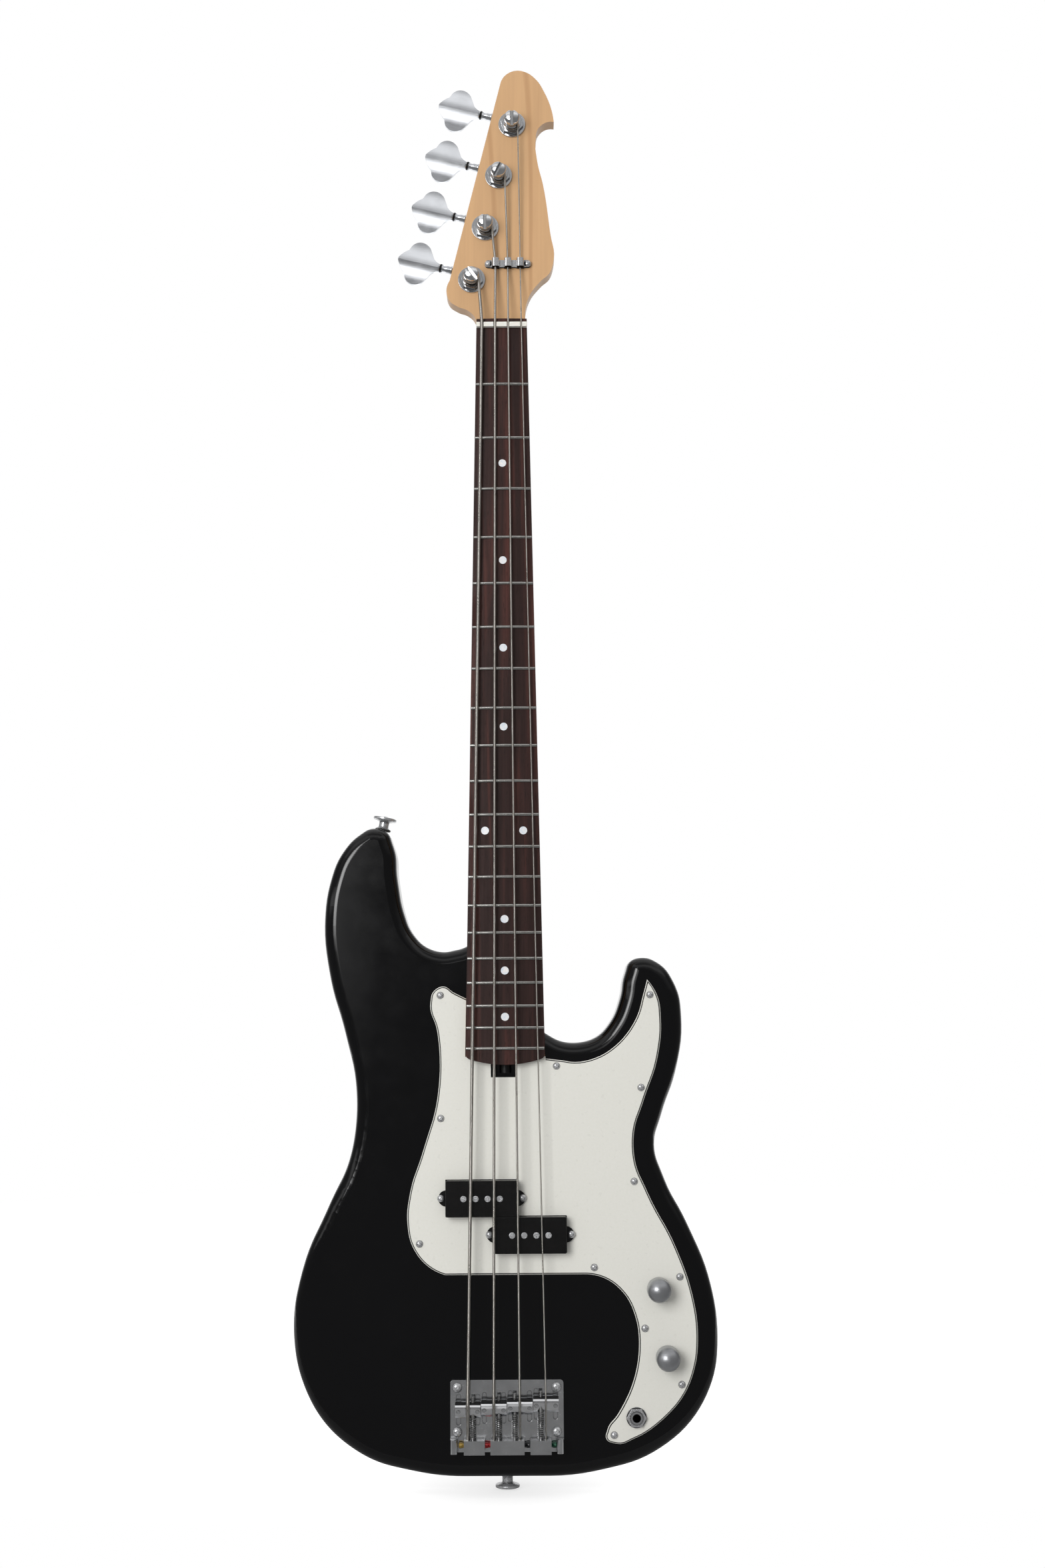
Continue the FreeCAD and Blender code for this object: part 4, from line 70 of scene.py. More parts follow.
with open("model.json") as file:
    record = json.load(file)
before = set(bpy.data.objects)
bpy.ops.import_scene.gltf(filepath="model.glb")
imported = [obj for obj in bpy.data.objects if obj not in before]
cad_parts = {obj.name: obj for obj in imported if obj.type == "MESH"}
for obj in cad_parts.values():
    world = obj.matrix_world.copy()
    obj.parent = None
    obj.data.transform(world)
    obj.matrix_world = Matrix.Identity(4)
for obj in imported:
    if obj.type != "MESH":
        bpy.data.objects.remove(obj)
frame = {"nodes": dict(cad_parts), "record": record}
CAD_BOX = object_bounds()

STRINGS = "eadg"
SLOTS = {row["node"]: row["material_slot"] for row in frame["record"]["subparts"]}
BODIES = {node: body for body, nodes in frame["record"]["behaviour"]["bodies"].items() for node in nodes}


def colour(name, description, default):
    return FloatVectorProperty(
        name=name, description=description, subtype="COLOR_GAMMA", size=3, min=0, max=1,
        default=[channel / 255 for channel in default],
    )


def length(name, description, default):
    return FloatProperty(
        name=name, description=description, unit="LENGTH", precision=5, min=0, default=default,
    )


def quantity(name, description, default, least=0):
    return FloatProperty(name=name, description=description, min=least, default=default)


def bearing(name, description, degrees):
    return FloatProperty(
        name=name, description=description, subtype="ANGLE", default=math.radians(degrees),
    )


class BassLooks(PropertyGroup):
    """Colours of the finishes."""

    lacquer: colour("Lacquer", "Gloss lacquer of the body", (4, 4, 5))
    sheet: colour("Guard sheet", "Outer plies of the guard", (218, 217, 210))
    ply: colour("Guard core", "Middle ply of the guard", (22, 22, 22))
    maple: colour("Neck wood", "Pale wood of the neck", (194, 156, 116))
    maple_streak: colour("Neck streak", "Darker figure of the neck", (160, 118, 80))
    board: colour("Fretboard", "Dark wood of the fretboard", (49, 35, 33))
    board_streak: colour("Fretboard streak", "Reddish streak of the fretboard", (80, 49, 44))
    nut: colour("Nut", "Nut at the head of the fretboard", (222, 221, 216))
    marker: colour("Markers", "Position dots", (222, 224, 227))
    plating: colour("Plating", "Bright plating", (226, 227, 229))
    satin: colour("Satin metal", "Keys and knobs", (206, 208, 212))
    ball_e: colour("First ball end", "Ball end of the thickest string", (176, 146, 70))
    ball_a: colour("Second ball end", "Ball end of the second string", (190, 26, 34))
    ball_d: colour("Third ball end", "Ball end of the third string", (24, 26, 30))
    ball_g: colour("Fourth ball end", "Ball end of the thinnest string", (10, 84, 58))


class BassWires(PropertyGroup):
    """Sizes of the strings and the springs."""

    gauges: FloatVectorProperty(
        name="Gauges", description="Diameters of the strings, thickest first", unit="LENGTH", precision=5,
        size=4, min=0.0002, default=(0.00267, 0.00216, 0.00165, 0.00114),
    )
    wrap_pitch: length("Wrap pitch", "Spacing of the wrap's turns along a string", 0.00045)
    spring_radius: length("Spring radius", "Middle radius of a saddle spring", 0.00215)
    spring_wire: length("Spring wire", "Thickness of the spring wire", 0.0007)
    lead_radius: length("Lead radius", "Radius of an insulated lead", 0.0008)


class BassStudio(PropertyGroup):
    """Light and lens of the studio."""

    key_power: quantity("Left softbox", "Power in watts", 59)
    top_power: quantity("Top softbox", "Power in watts", 8)
    back_power: quantity("Back softbox", "Power in watts", 40)
    room: quantity("Room", "Brightness of the room behind the lens", 0.19)
    bar: quantity("Bar", "Brightness of the level light over the lens", 1.15)
    veil: quantity("Veil", "Brightness of the soft light beside the lens", 2.0)
    strip: quantity("Strip", "Brightness of the narrow upright light", 11)
    ceiling: quantity("Ceiling", "Brightness of the ceiling", 0.7)
    fill: quantity("Ambient", "Even light from all sides", 0.42)
    lens: quantity("Lens", "Focal length in millimetres", 43.479, 1)
    climb: bearing("Climb", "How far the lens looks up", 7.587)
    roll: bearing("Roll", "Turn of the picture", 0.355)


# Finishes

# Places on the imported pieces, in metres towards the back.
GUARD_BACK, GUARD_FRONT = -0.0222, -0.0247
CREST_START, CREST_END = -0.0343, -0.0348
BUSH_MOUTH, BUSH_DEEP = -0.0262, -0.0232
# The part of a noise's reach that holds most of it.
NOISE_LOW, NOISE_HIGH = 0.3, 0.7
RANGE_SOCKETS = ("From Min", "From Max", "To Min", "To Max")
# How far the painted shade reaches out of a corner, and how much of it stays.
CORNER_SHADE_REACH = 0.002
CORNER_SHADE_SHARE = 0.9


def linear(shade):
    """A display colour as the shader wants it."""
    channels = [c / 12.92 if c <= 0.04045 else ((c + 0.055) / 1.055) ** 2.4 for c in shade]
    return (*channels, 1.0)


def scaled(shade, *shares):
    """A display colour with its channels scaled, by one share for all or by one share each."""
    shares = shares if len(shares) > 1 else shares * len(shade)
    return [min(1, channel * share) for channel, share in zip(shade, shares)]


def rgb(red, green, blue):
    return linear([channel / 255 for channel in (red, green, blue)])


class Finish:
    """A node material while it is put together."""

    def __init__(self, name, **constants):
        self.material = bpy.data.materials.new(name)
        self.material.use_nodes = True
        self.tree = self.material.node_tree
        self.shader = self.tree.nodes["Principled BSDF"]
        self.place = self.add("ShaderNodeTexCoord").outputs["Object"]
        for socket, amount in constants.items():
            self.shader.inputs[socket.replace("_", " ")].default_value = amount

    def add(self, kind, **settings):
        node = self.tree.nodes.new(kind)
        for setting, choice in settings.items():
            setattr(node, setting, choice)
        return node

    def feed(self, socket, source):
        if isinstance(source, bpy.types.NodeSocket):
            self.tree.links.new(source, socket)
        else:
            socket.default_value = source

    def shade(self, socket, source):
        self.feed(self.shader.inputs[socket], source)

    def stretched(self, scale):
        """Object coordinates in metres, drawn out along the axes with small numbers."""
        node = self.add("ShaderNodeMapping")
        self.feed(node.inputs["Vector"], self.place)
        node.inputs["Scale"].default_value = scale
        return node.outputs["Vector"]

    def noise(self, scale, detail=3.0, at=None, distortion=0.0):
        node = self.add("ShaderNodeTexNoise")
        self.feed(node.inputs["Vector"], at or self.place)
        node.inputs["Scale"].default_value = scale
        node.inputs["Detail"].default_value = detail
        node.inputs["Distortion"].default_value = distortion
        return node.outputs["Fac"]

    def bands(self, scale, axis, distortion, at=None):
        node = self.add("ShaderNodeTexWave", bands_direction=axis)
        self.feed(node.inputs["Vector"], at or self.place)
        node.inputs["Scale"].default_value = scale
        node.inputs["Distortion"].default_value = distortion
        return node.outputs["Fac"]

    def cells(self, scale):
        """Distance to the nearest of many scattered points."""
        node = self.add("ShaderNodeTexVoronoi")
        self.feed(node.inputs["Vector"], self.place)
        node.inputs["Scale"].default_value = scale
        return node.outputs["Distance"]

    def ramp(self, factor, *stops, interpolation="LINEAR"):
        node = self.add("ShaderNodeValToRGB")
        ramp = node.color_ramp
        ramp.interpolation = interpolation
        while len(ramp.elements) < len(stops):
            ramp.elements.new(0.5)
        for element, (position, shade) in zip(ramp.elements, stops):
            element.position = position
            element.color = shade
        self.feed(node.inputs["Fac"], factor)
        return node.outputs["Color"]

    def span(self, factor, low, high, start=0.0, end=1.0):
        """A number spread from low to high."""
        node = self.add("ShaderNodeMapRange")
        self.feed(node.inputs["Value"], factor)
        for socket, amount in zip(RANGE_SOCKETS, (start, end, low, high)):
            node.inputs[socket].default_value = amount
        return node.outputs["Result"]

    def spread(self, noise, low, high):
        """A number that varies with a noise from low to high."""
        return self.span(noise, low, high, NOISE_LOW, NOISE_HIGH)

    def fade(self, noise, first, second):
        """A colour that varies with a noise from the first to the second."""
        return self.ramp(noise, (NOISE_LOW, first), (NOISE_HIGH, second))

    def mix(self, factor, first, second, blend="MIX"):
        node = self.add("ShaderNodeMix", data_type="RGBA", blend_type=blend)
        self.feed(node.inputs[0], factor)
        self.feed(node.inputs[6], first)
        self.feed(node.inputs[7], second)
        return node.outputs[2]

    def sum(self, first, second, operation="ADD"):
        node = self.add("ShaderNodeMath", operation=operation)
        self.feed(node.inputs[0], first)
        self.feed(node.inputs[1], second)
        return node.outputs[0]

    def openness(self, reach):
        """How free a place is: low in a tight corner, 1 on an open face."""
        node = self.add("ShaderNodeAmbientOcclusion", samples=6)
        node.inputs["Distance"].default_value = reach
        return node.outputs["AO"]

    def bump(self, height, distance, strength):
        node = self.add("ShaderNodeBump")
        node.inputs["Distance"].default_value = distance
        node.inputs["Strength"].default_value = strength
        self.feed(node.inputs["Height"], height)
        self.shade("Normal", node.outputs["Normal"])

    def axis(self, letter, vector=None):
        """One coordinate of a place, or of another vector."""
        node = self.add("ShaderNodeSeparateXYZ")
        self.feed(node.inputs[0], vector or self.place)
        return node.outputs[letter]


def black_lacquer(looks):
    finish = Finish("black_lacquer", Specular_IOR_Level=0.36)
    mottle = finish.noise(9, 2)
    deep, lifted = linear(looks.lacquer), linear(scaled(looks.lacquer, 1.25))
    finish.shade("Base Color", finish.ramp(mottle, (0.3, deep), (0.75, lifted)))
    finish.shade("Roughness", finish.spread(finish.noise(60, 5), 0.06, 0.13))
    finish.bump(finish.noise(140, 2), 0.00001, 0.04)
    return finish


def laminate(looks):
    finish = Finish("laminate", Specular_IOR_Level=0.4)
    level = finish.span(finish.axis("Y"), 0, 1, GUARD_BACK, GUARD_FRONT)
    white, core = linear(looks.sheet), linear(looks.ply)
    plies = finish.ramp(level, (0, white), (0.62, core), (0.92, white), interpolation="CONSTANT")
    veil = finish.fade(finish.noise(520, 5), rgb(252, 252, 251), rgb(255, 255, 255))
    finish.shade("Base Color", finish.mix(1.0, plies, veil, "MULTIPLY"))
    finish.shade("Roughness", finish.spread(finish.noise(240, 6), 0.26, 0.36))
    finish.bump(finish.noise(900, 2), 0.00001, 0.15)
    return finish


def maple(looks):
    finish = Finish("maple", Coat_Weight=0.12, Coat_Roughness=0.3, Specular_IOR_Level=0.25)
    pale, dark = linear(looks.maple), linear(looks.maple_streak)
    light, tawny = (linear(scaled(looks.maple, share)) for share in (1.035, 0.93))
    rays = finish.noise(1, 5, finish.stretched((340, 340, 9)), 0.4)
    figure = finish.noise(1, 3, finish.stretched((26, 26, 3.2)), 1.2)
    grain = finish.fade(rays, pale, light)
    warm = finish.mix(finish.span(figure, 0, 0.5, 0.45, 0.75), grain, tawny)
    rings = finish.bands(9, "X", 6.0, finish.stretched((1, 1, 0.16)))
    streak = finish.noise(1, 4, finish.stretched((58, 58, 1.7)), 0.7)
    lines = finish.sum(finish.span(streak, 0, 0.45, 0.64, 0.78), finish.span(rings, 0, 0.4, 0.94, 1.0))
    finish.shade("Base Color", finish.mix(lines, warm, dark))
    finish.shade("Roughness", finish.spread(rays, 0.3, 0.42))
    finish.bump(rays, 0.00002, 0.25)
    return finish


def rosewood(looks):
    finish = Finish("rosewood", Specular_IOR_Level=0.14)
    base, red = linear(looks.board), linear(looks.board_streak)
    dark = linear(scaled(looks.board, 0.78))
    broad = finish.noise(1, 4, finish.stretched((120, 120, 4)), 0.8)
    fine = finish.noise(1, 4, finish.stretched((620, 620, 16)), 0.3)
    wood = finish.ramp(broad, (0.3, dark), (0.5, base), (0.72, red))
    wood = finish.mix(finish.span(fine, 0, 0.55, 0.42, 0.7), wood, dark)
    pores = finish.span(finish.noise(1, 2, finish.stretched((1500, 1500, 120))), 0, 1, 0.6, 0.7)
    finish.shade("Base Color", finish.mix(finish.sum(pores, 0.6, "MULTIPLY"), wood, rgb(24, 18, 17)))
    finish.shade("Roughness", finish.spread(fine, 0.38, 0.55))
    finish.bump(finish.sum(1.0, pores, "SUBTRACT"), 0.00006, 0.5)
    return finish


def fret_wire(looks):
    finish = Finish("fret_wire", Metallic=1.0)
    lines = finish.noise(1, 3, finish.stretched((60, 3000, 3000)))
    finish.shade("Base Color", finish.fade(lines, rgb(172, 170, 166), rgb(196, 195, 191)))
    finish.shade("Roughness", finish.spread(lines, 0.16, 0.28))
    finish.bump(lines, 0.00001, 0.2)
    return finish


def bone(looks):
    finish = Finish("bone", Specular_IOR_Level=0.4, Subsurface_Weight=0.08, Subsurface_Scale=0.002)
    grain = finish.noise(1, 4, finish.stretched((240, 900, 900)))
    aged = linear(scaled(looks.nut, 0.97, 0.96, 0.93))
    finish.shade("Base Color", finish.ramp(grain, (0.3, aged), (0.65, linear(looks.nut))))
    finish.shade("Roughness", finish.spread(grain, 0.3, 0.45))
    finish.bump(grain, 0.00002, 0.2)
    return finish


def pearl(looks):
    finish = Finish("pearl", Coat_Weight=0.6, Coat_Roughness=0.08)
    clouds = finish.noise(1, 4, finish.stretched((420, 420, 260)), 1.6)
    cool = linear(scaled(looks.marker, 0.92, 0.955, 0.985))
    warm = linear(scaled(looks.marker, 1.03, 1.0, 0.97))
    finish.shade("Base Color", finish.ramp(clouds, (0.32, cool), (0.5, linear(looks.marker)), (0.68, warm)))
    finish.shade("Roughness", finish.spread(clouds, 0.16, 0.3))
    return finish


def plated(
    name, shade, low, high, scratch=0.08, stretch=(900, 900, 900), metallic=1.0, corner=(0.3, 0.8),
):
    """Metal with a polish that varies, fine marks in it and painted shade in its corners."""
    finish = Finish(name, Metallic=metallic)
    cloud = finish.noise(90, 5)
    marks = finish.noise(1, 4, finish.stretched(stretch))
    bare_tone = finish.ramp(cloud, (0.3, linear(scaled(shade, 0.95))), (0.65, linear(shade)))
    # Painted shade: the tone turns toward a near black where ambient occlusion finds a corner or recess.
    corner_shade = finish.span(finish.openness(CORNER_SHADE_REACH), CORNER_SHADE_SHARE, 0, *corner)
    finish.tone = finish.mix(corner_shade, bare_tone, rgb(20, 20, 21))
    finish.shade("Base Color", finish.tone)
    finish.shade("Roughness", finish.span(finish.sum(cloud, marks, "MULTIPLY"), low, high, 0.12, 0.42))
    finish.bump(marks, 0.00001, scratch)
    return finish


def chrome(looks):
    return plated("chrome", looks.plating, 0.07, 0.2)


def steel(looks):
    return plated("steel", (0.66, 0.66, 0.66), 0.22, 0.4, 0.2)


def dark_steel(looks):
    return plated("dark_steel", (0.2, 0.2, 0.2), 0.35, 0.55, 0.2)


def satin_metal(looks):
    return plated("satin_metal", scaled(looks.satin, 0.76), 0.28, 0.38, 0.25, (160, 2600, 2600), 0.75)


def key_metal(looks):
    return plated("key_metal", scaled(looks.satin, 1.12), 0.12, 0.18, 0.05, (160, 2600, 2600))


def screw_metal(looks):
    shade = scaled(looks.plating, 0.88)
    # Stronger painted shade in corners, so the cross recesses show dark.
    return plated("screw_metal", shade, 0.2, 0.34, 0.1, metallic=0.7, corner=(0.75, 0.97))


def painted_shade_metal(name, looks, start, end, rubbed_highlight=None):
    """Bright metal with painted shade on faces as they turn along the neck, and pale over the given levels,
    as worn metal and a painted highlight.
    """
    finish = plated(name, looks.plating, 0.1, 0.24)
    facing = finish.axis("Z", finish.add("ShaderNodeTexCoord").outputs["Normal"])
    # Painted shade: faces turned along the neck go near black, dull and rough.
    dark = finish.span(facing, 0, 1, start, end)
    dull, tone = dark, finish.tone
    if rubbed_highlight:
        # Pale band over the given levels: worn metal and a painted highlight.
        crest = finish.span(finish.axis("Y"), 0, 1, *rubbed_highlight)
        dull = finish.sum(crest, dark, "MAXIMUM")
        tone = finish.mix(crest, tone, linear(looks.plating))
    finish.shade("Base Color", finish.mix(dark, tone, rgb(12, 12, 13)))
    finish.shade("Metallic", finish.span(dull, 1.0, 0.2))
    finish.shade("Roughness", finish.span(dark, 0.18, 1.0))
    return finish


def saddle_metal(looks):
    """Painted shade on faces towards the neck, and pale where the strings cross, as worn metal and a
    painted highlight.
    """
    return painted_shade_metal("saddle_metal", looks, 0.6, 0.9, (CREST_START, CREST_END))


def hook_metal(looks):
    """Painted shade under the hooks."""
    return painted_shade_metal("hook_metal", looks, -0.35, -0.75)


def jack_metal(looks):
    """Bright bush with painted shade down its bore."""
    finish = plated("jack_metal", looks.plating, 0.1, 0.24)
    depth = finish.span(finish.axis("Y"), 0, 1, BUSH_MOUTH, BUSH_DEEP)
    finish.shade("Base Color", finish.mix(depth, linear(looks.plating), rgb(26, 24, 22)))
    return finish


def ball_metal(looks, name):
    """Coloured metal of a string's ball end."""
    shade = getattr(looks, name)
    finish = Finish(name, Metallic=0.6, Coat_Weight=0.6, Coat_Roughness=0.15)
    cloud = finish.noise(700, 4)
    finish.shade("Base Color", finish.fade(cloud, linear(scaled(shade, 0.82)), linear(shade)))
    finish.shade("Roughness", finish.spread(cloud, 0.24, 0.4))
    return finish


def gear_brass(looks):
    return plated("gear_brass", (0.74, 0.6, 0.34), 0.2, 0.36, 0.2, (500, 2600, 500))


def black_plastic(looks):
    finish = Finish("black_plastic", Specular_IOR_Level=0.36)
    cloud = finish.noise(70, 4)
    finish.shade("Base Color", finish.fade(cloud, rgb(9, 9, 9), rgb(14, 13, 13)))
    finish.shade("Roughness", finish.spread(finish.noise(300, 5), 0.13, 0.22))
    finish.bump(finish.noise(1800, 3), 0.00001, 0.15)
    return finish


def coil(looks):
    finish = Finish("coil", Metallic=0.4, Coat_Weight=0.5, Coat_Roughness=0.2)
    turns = finish.bands(900, "Y", 0.6)
    finish.shade("Base Color", finish.ramp(turns, (0.2, rgb(70, 30, 18)), (0.8, rgb(140, 72, 40))))
    finish.shade("Roughness", finish.span(turns, 0.3, 0.5))
    finish.bump(turns, 0.00004, 0.6)
    return finish


def insulation(looks):
    finish = Finish("insulation", Specular_IOR_Level=0.4)
    weave = finish.cells(1600)
    finish.shade("Base Color", finish.ramp(weave, (0.1, rgb(50, 48, 44)), (0.6, rgb(26, 25, 24))))
    finish.shade("Roughness", finish.span(weave, 0.5, 0.75))
    finish.bump(weave, 0.0001, 0.5)
    return finish


def felt(looks):
    finish = Finish("felt", Sheen_Weight=0.5, Sheen_Roughness=0.5, Specular_IOR_Level=0.1)
    fibres = finish.noise(2600, 6, distortion=2.0)
    finish.shade("Base Color", finish.fade(fibres, rgb(14, 14, 14), rgb(46, 45, 44)))
    finish.shade("Roughness", finish.span(fibres, 0.85, 1.0))
    finish.bump(fibres, 0.0003, 0.8)
    return finish


def string_wire(looks):
    finish = Finish("string_wire", Metallic=1.0)
    reader = finish.add("ShaderNodeAttribute", attribute_name="along")
    pitch = bpy.context.scene.bass_wires.wrap_pitch
    turns = finish.sum(reader.outputs["Fac"], 2 * math.pi / pitch, "MULTIPLY")
    ridge = finish.span(finish.sum(turns, 0.0, "SINE"), 0, 1, -1, 1)
    tarnish = finish.noise(1, 4, finish.stretched((400, 400, 30)))
    metal = finish.fade(tarnish, rgb(174, 170, 163), rgb(202, 198, 191))
    # Painted shade in the grooves between the wrap's turns.
    finish.shade("Base Color", finish.mix(finish.span(ridge, 0.5, 0, 0, 0.45), metal, rgb(84, 82, 79)))
    finish.shade("Roughness", finish.spread(tarnish, 0.24, 0.38))
    finish.bump(ridge, 0.00006, 0.6)
    return finish


MAKERS = {
    maker.__name__: maker
    for maker in (
        black_lacquer, laminate, maple, rosewood, fret_wire, bone, pearl, chrome, steel, dark_steel,
        satin_metal, key_metal, screw_metal, saddle_metal, hook_metal, jack_metal, gear_brass,
        black_plastic, coil, insulation, felt, string_wire,
    )
}
MAKERS.update({f"ball_{name}": partial(ball_metal, name=f"ball_{name}") for name in STRINGS})
FINISHES = {}


def material(name):
    """A finish by its name, made once."""
    if name not in FINISHES:
        FINISHES[name] = MAKERS[name](bpy.context.scene.bass_looks).material
    return FINISHES[name]


# Pieces

HELIX_STEPS = 12
LATHE_STEPS = 40

# Backs of the coils and of the pots, in metres towards the back.
COIL_BACK, POT_BACK = -0.0127, -0.0132
# How far each coil lies from the pickup's middle, across and along.
COIL_ACROSS, COIL_ALONG = 0.0189, 0.014
# Where a lead leaves a coil or a pot beside its middle, and how far it dips behind it.
COIL_END, LEAD_SIDE, LEAD_DIP = 0.023, 0.006, 0.004
# The capacitor's disc.
DISC_RADIUS, DISC_DEPTH, DISC_ROUND = 0.0042, 0.0026, 0.0009

SPRING_GAP = 0.0003
SPRING_TURNS = 10

# Profiles of turned pieces, as radius and height in millimetres.
KEY_RING = ((2.5, 29.6), (3.4, 29.6), (3.6, 29.8), (3.6, 30.9), (3.4, 31.1), (2.5, 31.1))
SPOOL = (
    (1.1, 0), (2.1, 0), (2.3, 0.2), (2.3, 2.4), (1.9, 2.9), (1.9, 5.7), (2.3, 6.2), (2.3, 8.4), (2.1, 8.6),
    (1.1, 8.6),
)
FELT_PAD = ((2.3, 0.12), (5.9, 0.12), (6.3, 0.4), (6.4, 0.9), (6.3, 1.4), (5.9, 1.72), (2.3, 1.72))

# Heights of the bridge plate, the fretboard, the retainer's seat and the winding above the body's middle.
PLATE_TOP, BOARD_TOP, RETAINER_LEVEL, WIND_LEVEL = 0.0242, 0.0317, 0.0262, 0.02945
# How far a string lies over the plate at its ball, over the board at its saddle and over it at the nut.
BALL_RISE, SADDLE_RISE, NUT_RISE = 0.0032, 0.0054, 0.0015
# Twice the radius of the fretboard's camber.
CAMBER = 0.482
# Spacing of the strings at the saddles, at the nut and under the retainer, and the retainer's place across.
SADDLE_SPACING, NUT_SPACING, RETAINER_SPACING, RETAINER_ACROSS = 0.02, 0.01085, 0.0103, 0.0054
# Places up the neck: ball ends, starts of the strings, saddles' crests, nut and retainer.
BALL_Z, START_Z, NUT_Z, RETAINER_Z = 0.0261, 0.0286, 0.9241, 0.978
CREST_Z = (0.0568, 0.058, 0.0593, 0.0609)
# How close to a corner a string starts to bend.
BEND = 0.0022
# Where a tail ends and its string starts past the saddle, and how much thicker the tail is.
TAIL_END, STRING_START, TAIL_COVER = 0.016, 0.009, 0.00003
# Waist of a post, gap between the turns on it, and the turns of each string.
POST_WAIST, TURN_GAP = 0.00435, 0.00045
POST_TURNS = (0.88, 1.24, 1.79, 2.68)
# How far from a post its string starts to bend, and the gap of a string in its ball end.
POST_HOLD, BALL_GAP = 0.002, 0.0001


def paint(*nodes, finish=None):
    """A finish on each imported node: its slot's own, if none is named."""
    for node in nodes:
        mesh = frame["nodes"][node].data
        mesh.materials.clear()
        mesh.materials.append(material(finish or SLOTS[node]))


def new_piece(name, bm, slot, body=None, finish=None):
    """A finished mesh as a piece of the instrument, attached to its body if it has one."""
    mesh = bpy.data.meshes.new(name)
    bm.to_mesh(mesh)
    bm.free()
    mesh.shade_smooth()
    mesh.set_sharp_from_angle(angle=math.radians(40))
    mesh.materials.append(material(finish or slot))
    piece = bpy.data.objects.new(name, mesh)
    bpy.context.scene.collection.objects.link(piece)
    if body:
        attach(piece, body)
    return piece


def merged(node):
    """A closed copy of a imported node's mesh, with its flat faces whole again."""
    bm = bmesh.new()
    bm.from_mesh(frame["nodes"][node].data)
    for layer in (bm.loops.layers.uv, bm.loops.layers.float_color):
        for name in layer.keys():
            layer.remove(layer[name])
    bmesh.ops.remove_doubles(bm, verts=bm.verts, dist=0.000002)
    bmesh.ops.dissolve_limit(bm, angle_limit=math.radians(0.5), verts=bm.verts, edges=bm.edges)
    return bm


def eased(node, size, sharp=38, finish=None):
    """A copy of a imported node, rounded a little at edges that turn by more than sharp degrees."""
    bm = merged(node)
    edges = [
        edge for edge in bm.edges
        if len(edge.link_faces) == 2 and edge.calc_face_angle(0) > math.radians(sharp)
    ]
    bmesh.ops.bevel(
        bm, geom=edges, offset=size, offset_type="OFFSET", segments=2, profile=0.5, affect="EDGES",
        clamp_overlap=True, material=-1,
    )
    piece = new_piece(node + "_eased", bm, SLOTS[node], BODIES[node], finish)
    flats = piece.modifiers.new("flats", "WEIGHTED_NORMAL")
    flats.keep_sharp = True
    if "custom_normal" in piece.data.attributes:
        piece.data.attributes.remove(piece.data.attributes["custom_normal"])
    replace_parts(piece, node)
    return piece


def spline_points(controls, resolution):
    """Points read from a smooth spline with these control points."""
    curve = bpy.data.curves.new("route", "CURVE")
    curve.dimensions = "3D"
    curve.resolution_u = resolution
    spline = curve.splines.new("NURBS")
    spline.points.add(len(controls) - 1)
    for point, control in zip(spline.points, controls):
        point.co = (*control, 1)
    spline.order_u = 3
    spline.use_endpoint_u = True
    holder = bpy.data.objects.new("route", curve)
    mesh = bpy.data.meshes.new_from_object(holder)
    points = [vertex.co.copy() for vertex in mesh.vertices]
    bpy.data.objects.remove(holder)
    bpy.data.curves.remove(curve)
    bpy.data.meshes.remove(mesh)
    return points


def sweep(bm, points, radius, sides=12):
    """A round wire along points; each ring keeps its distance from the start."""
    along = bm.verts.layers.float.get("along") or bm.verts.layers.float.new("along")
    points = [points[0]] + [b for a, b in zip(points, points[1:]) if (b - a).length > radius * 0.02]
    ways = [(b - a).normalized() for a, b in zip(points, points[1:])]
    ways = [ways[0]] + [(a + b).normalized() for a, b in zip(ways, ways[1:])] + [ways[-1]]
    turn = ways[0].to_track_quat("Z", "X").to_matrix().to_4x4()
    pose = Matrix.Translation(points[0]) @ turn
    ring = bmesh.ops.create_circle(bm, segments=sides, radius=radius, matrix=pose)["verts"]
    first = edges = list({edge for vert in ring for edge in vert.link_edges})
    reach = 0.0
    for before, after, way_before, way_after in zip(points, points[1:], ways, ways[1:]):
        made = bmesh.ops.extrude_edge_only(bm, edges=edges)["geom"]
        ring = [item for item in made if isinstance(item, bmesh.types.BMVert)]
        edges = [item for item in made if isinstance(item, bmesh.types.BMEdge)]
        step = way_before.rotation_difference(way_after).to_matrix().to_4x4()
        move = Matrix.Translation(after) @ step @ Matrix.Translation(-before)
        bmesh.ops.transform(bm, matrix=move, verts=ring)
        reach += (after - before).length
        for vert in ring:
            vert[along] = reach
    edges = [edge for edge in edges if len(edge.link_faces) == 1]
    bmesh.ops.edgeloop_fill(bm, edges=first)
    bmesh.ops.edgeloop_fill(bm, edges=edges)


def helix(centre, radius, pitch, turns, start, axes):
    """Control points of a helix: axes are the start, the way round and the way up."""
    outer = radius / math.cos(math.pi / HELIX_STEPS)
    count = max(3, round(turns * HELIX_STEPS))
    points = []
    for step in range(count + 1):
        angle = start + 2 * math.pi * turns * step / count
        rise = pitch * turns * step / count
        way = axes[0] * math.cos(angle) + axes[1] * math.sin(angle)
        points.append(centre + way * outer + axes[2] * rise)
    return points


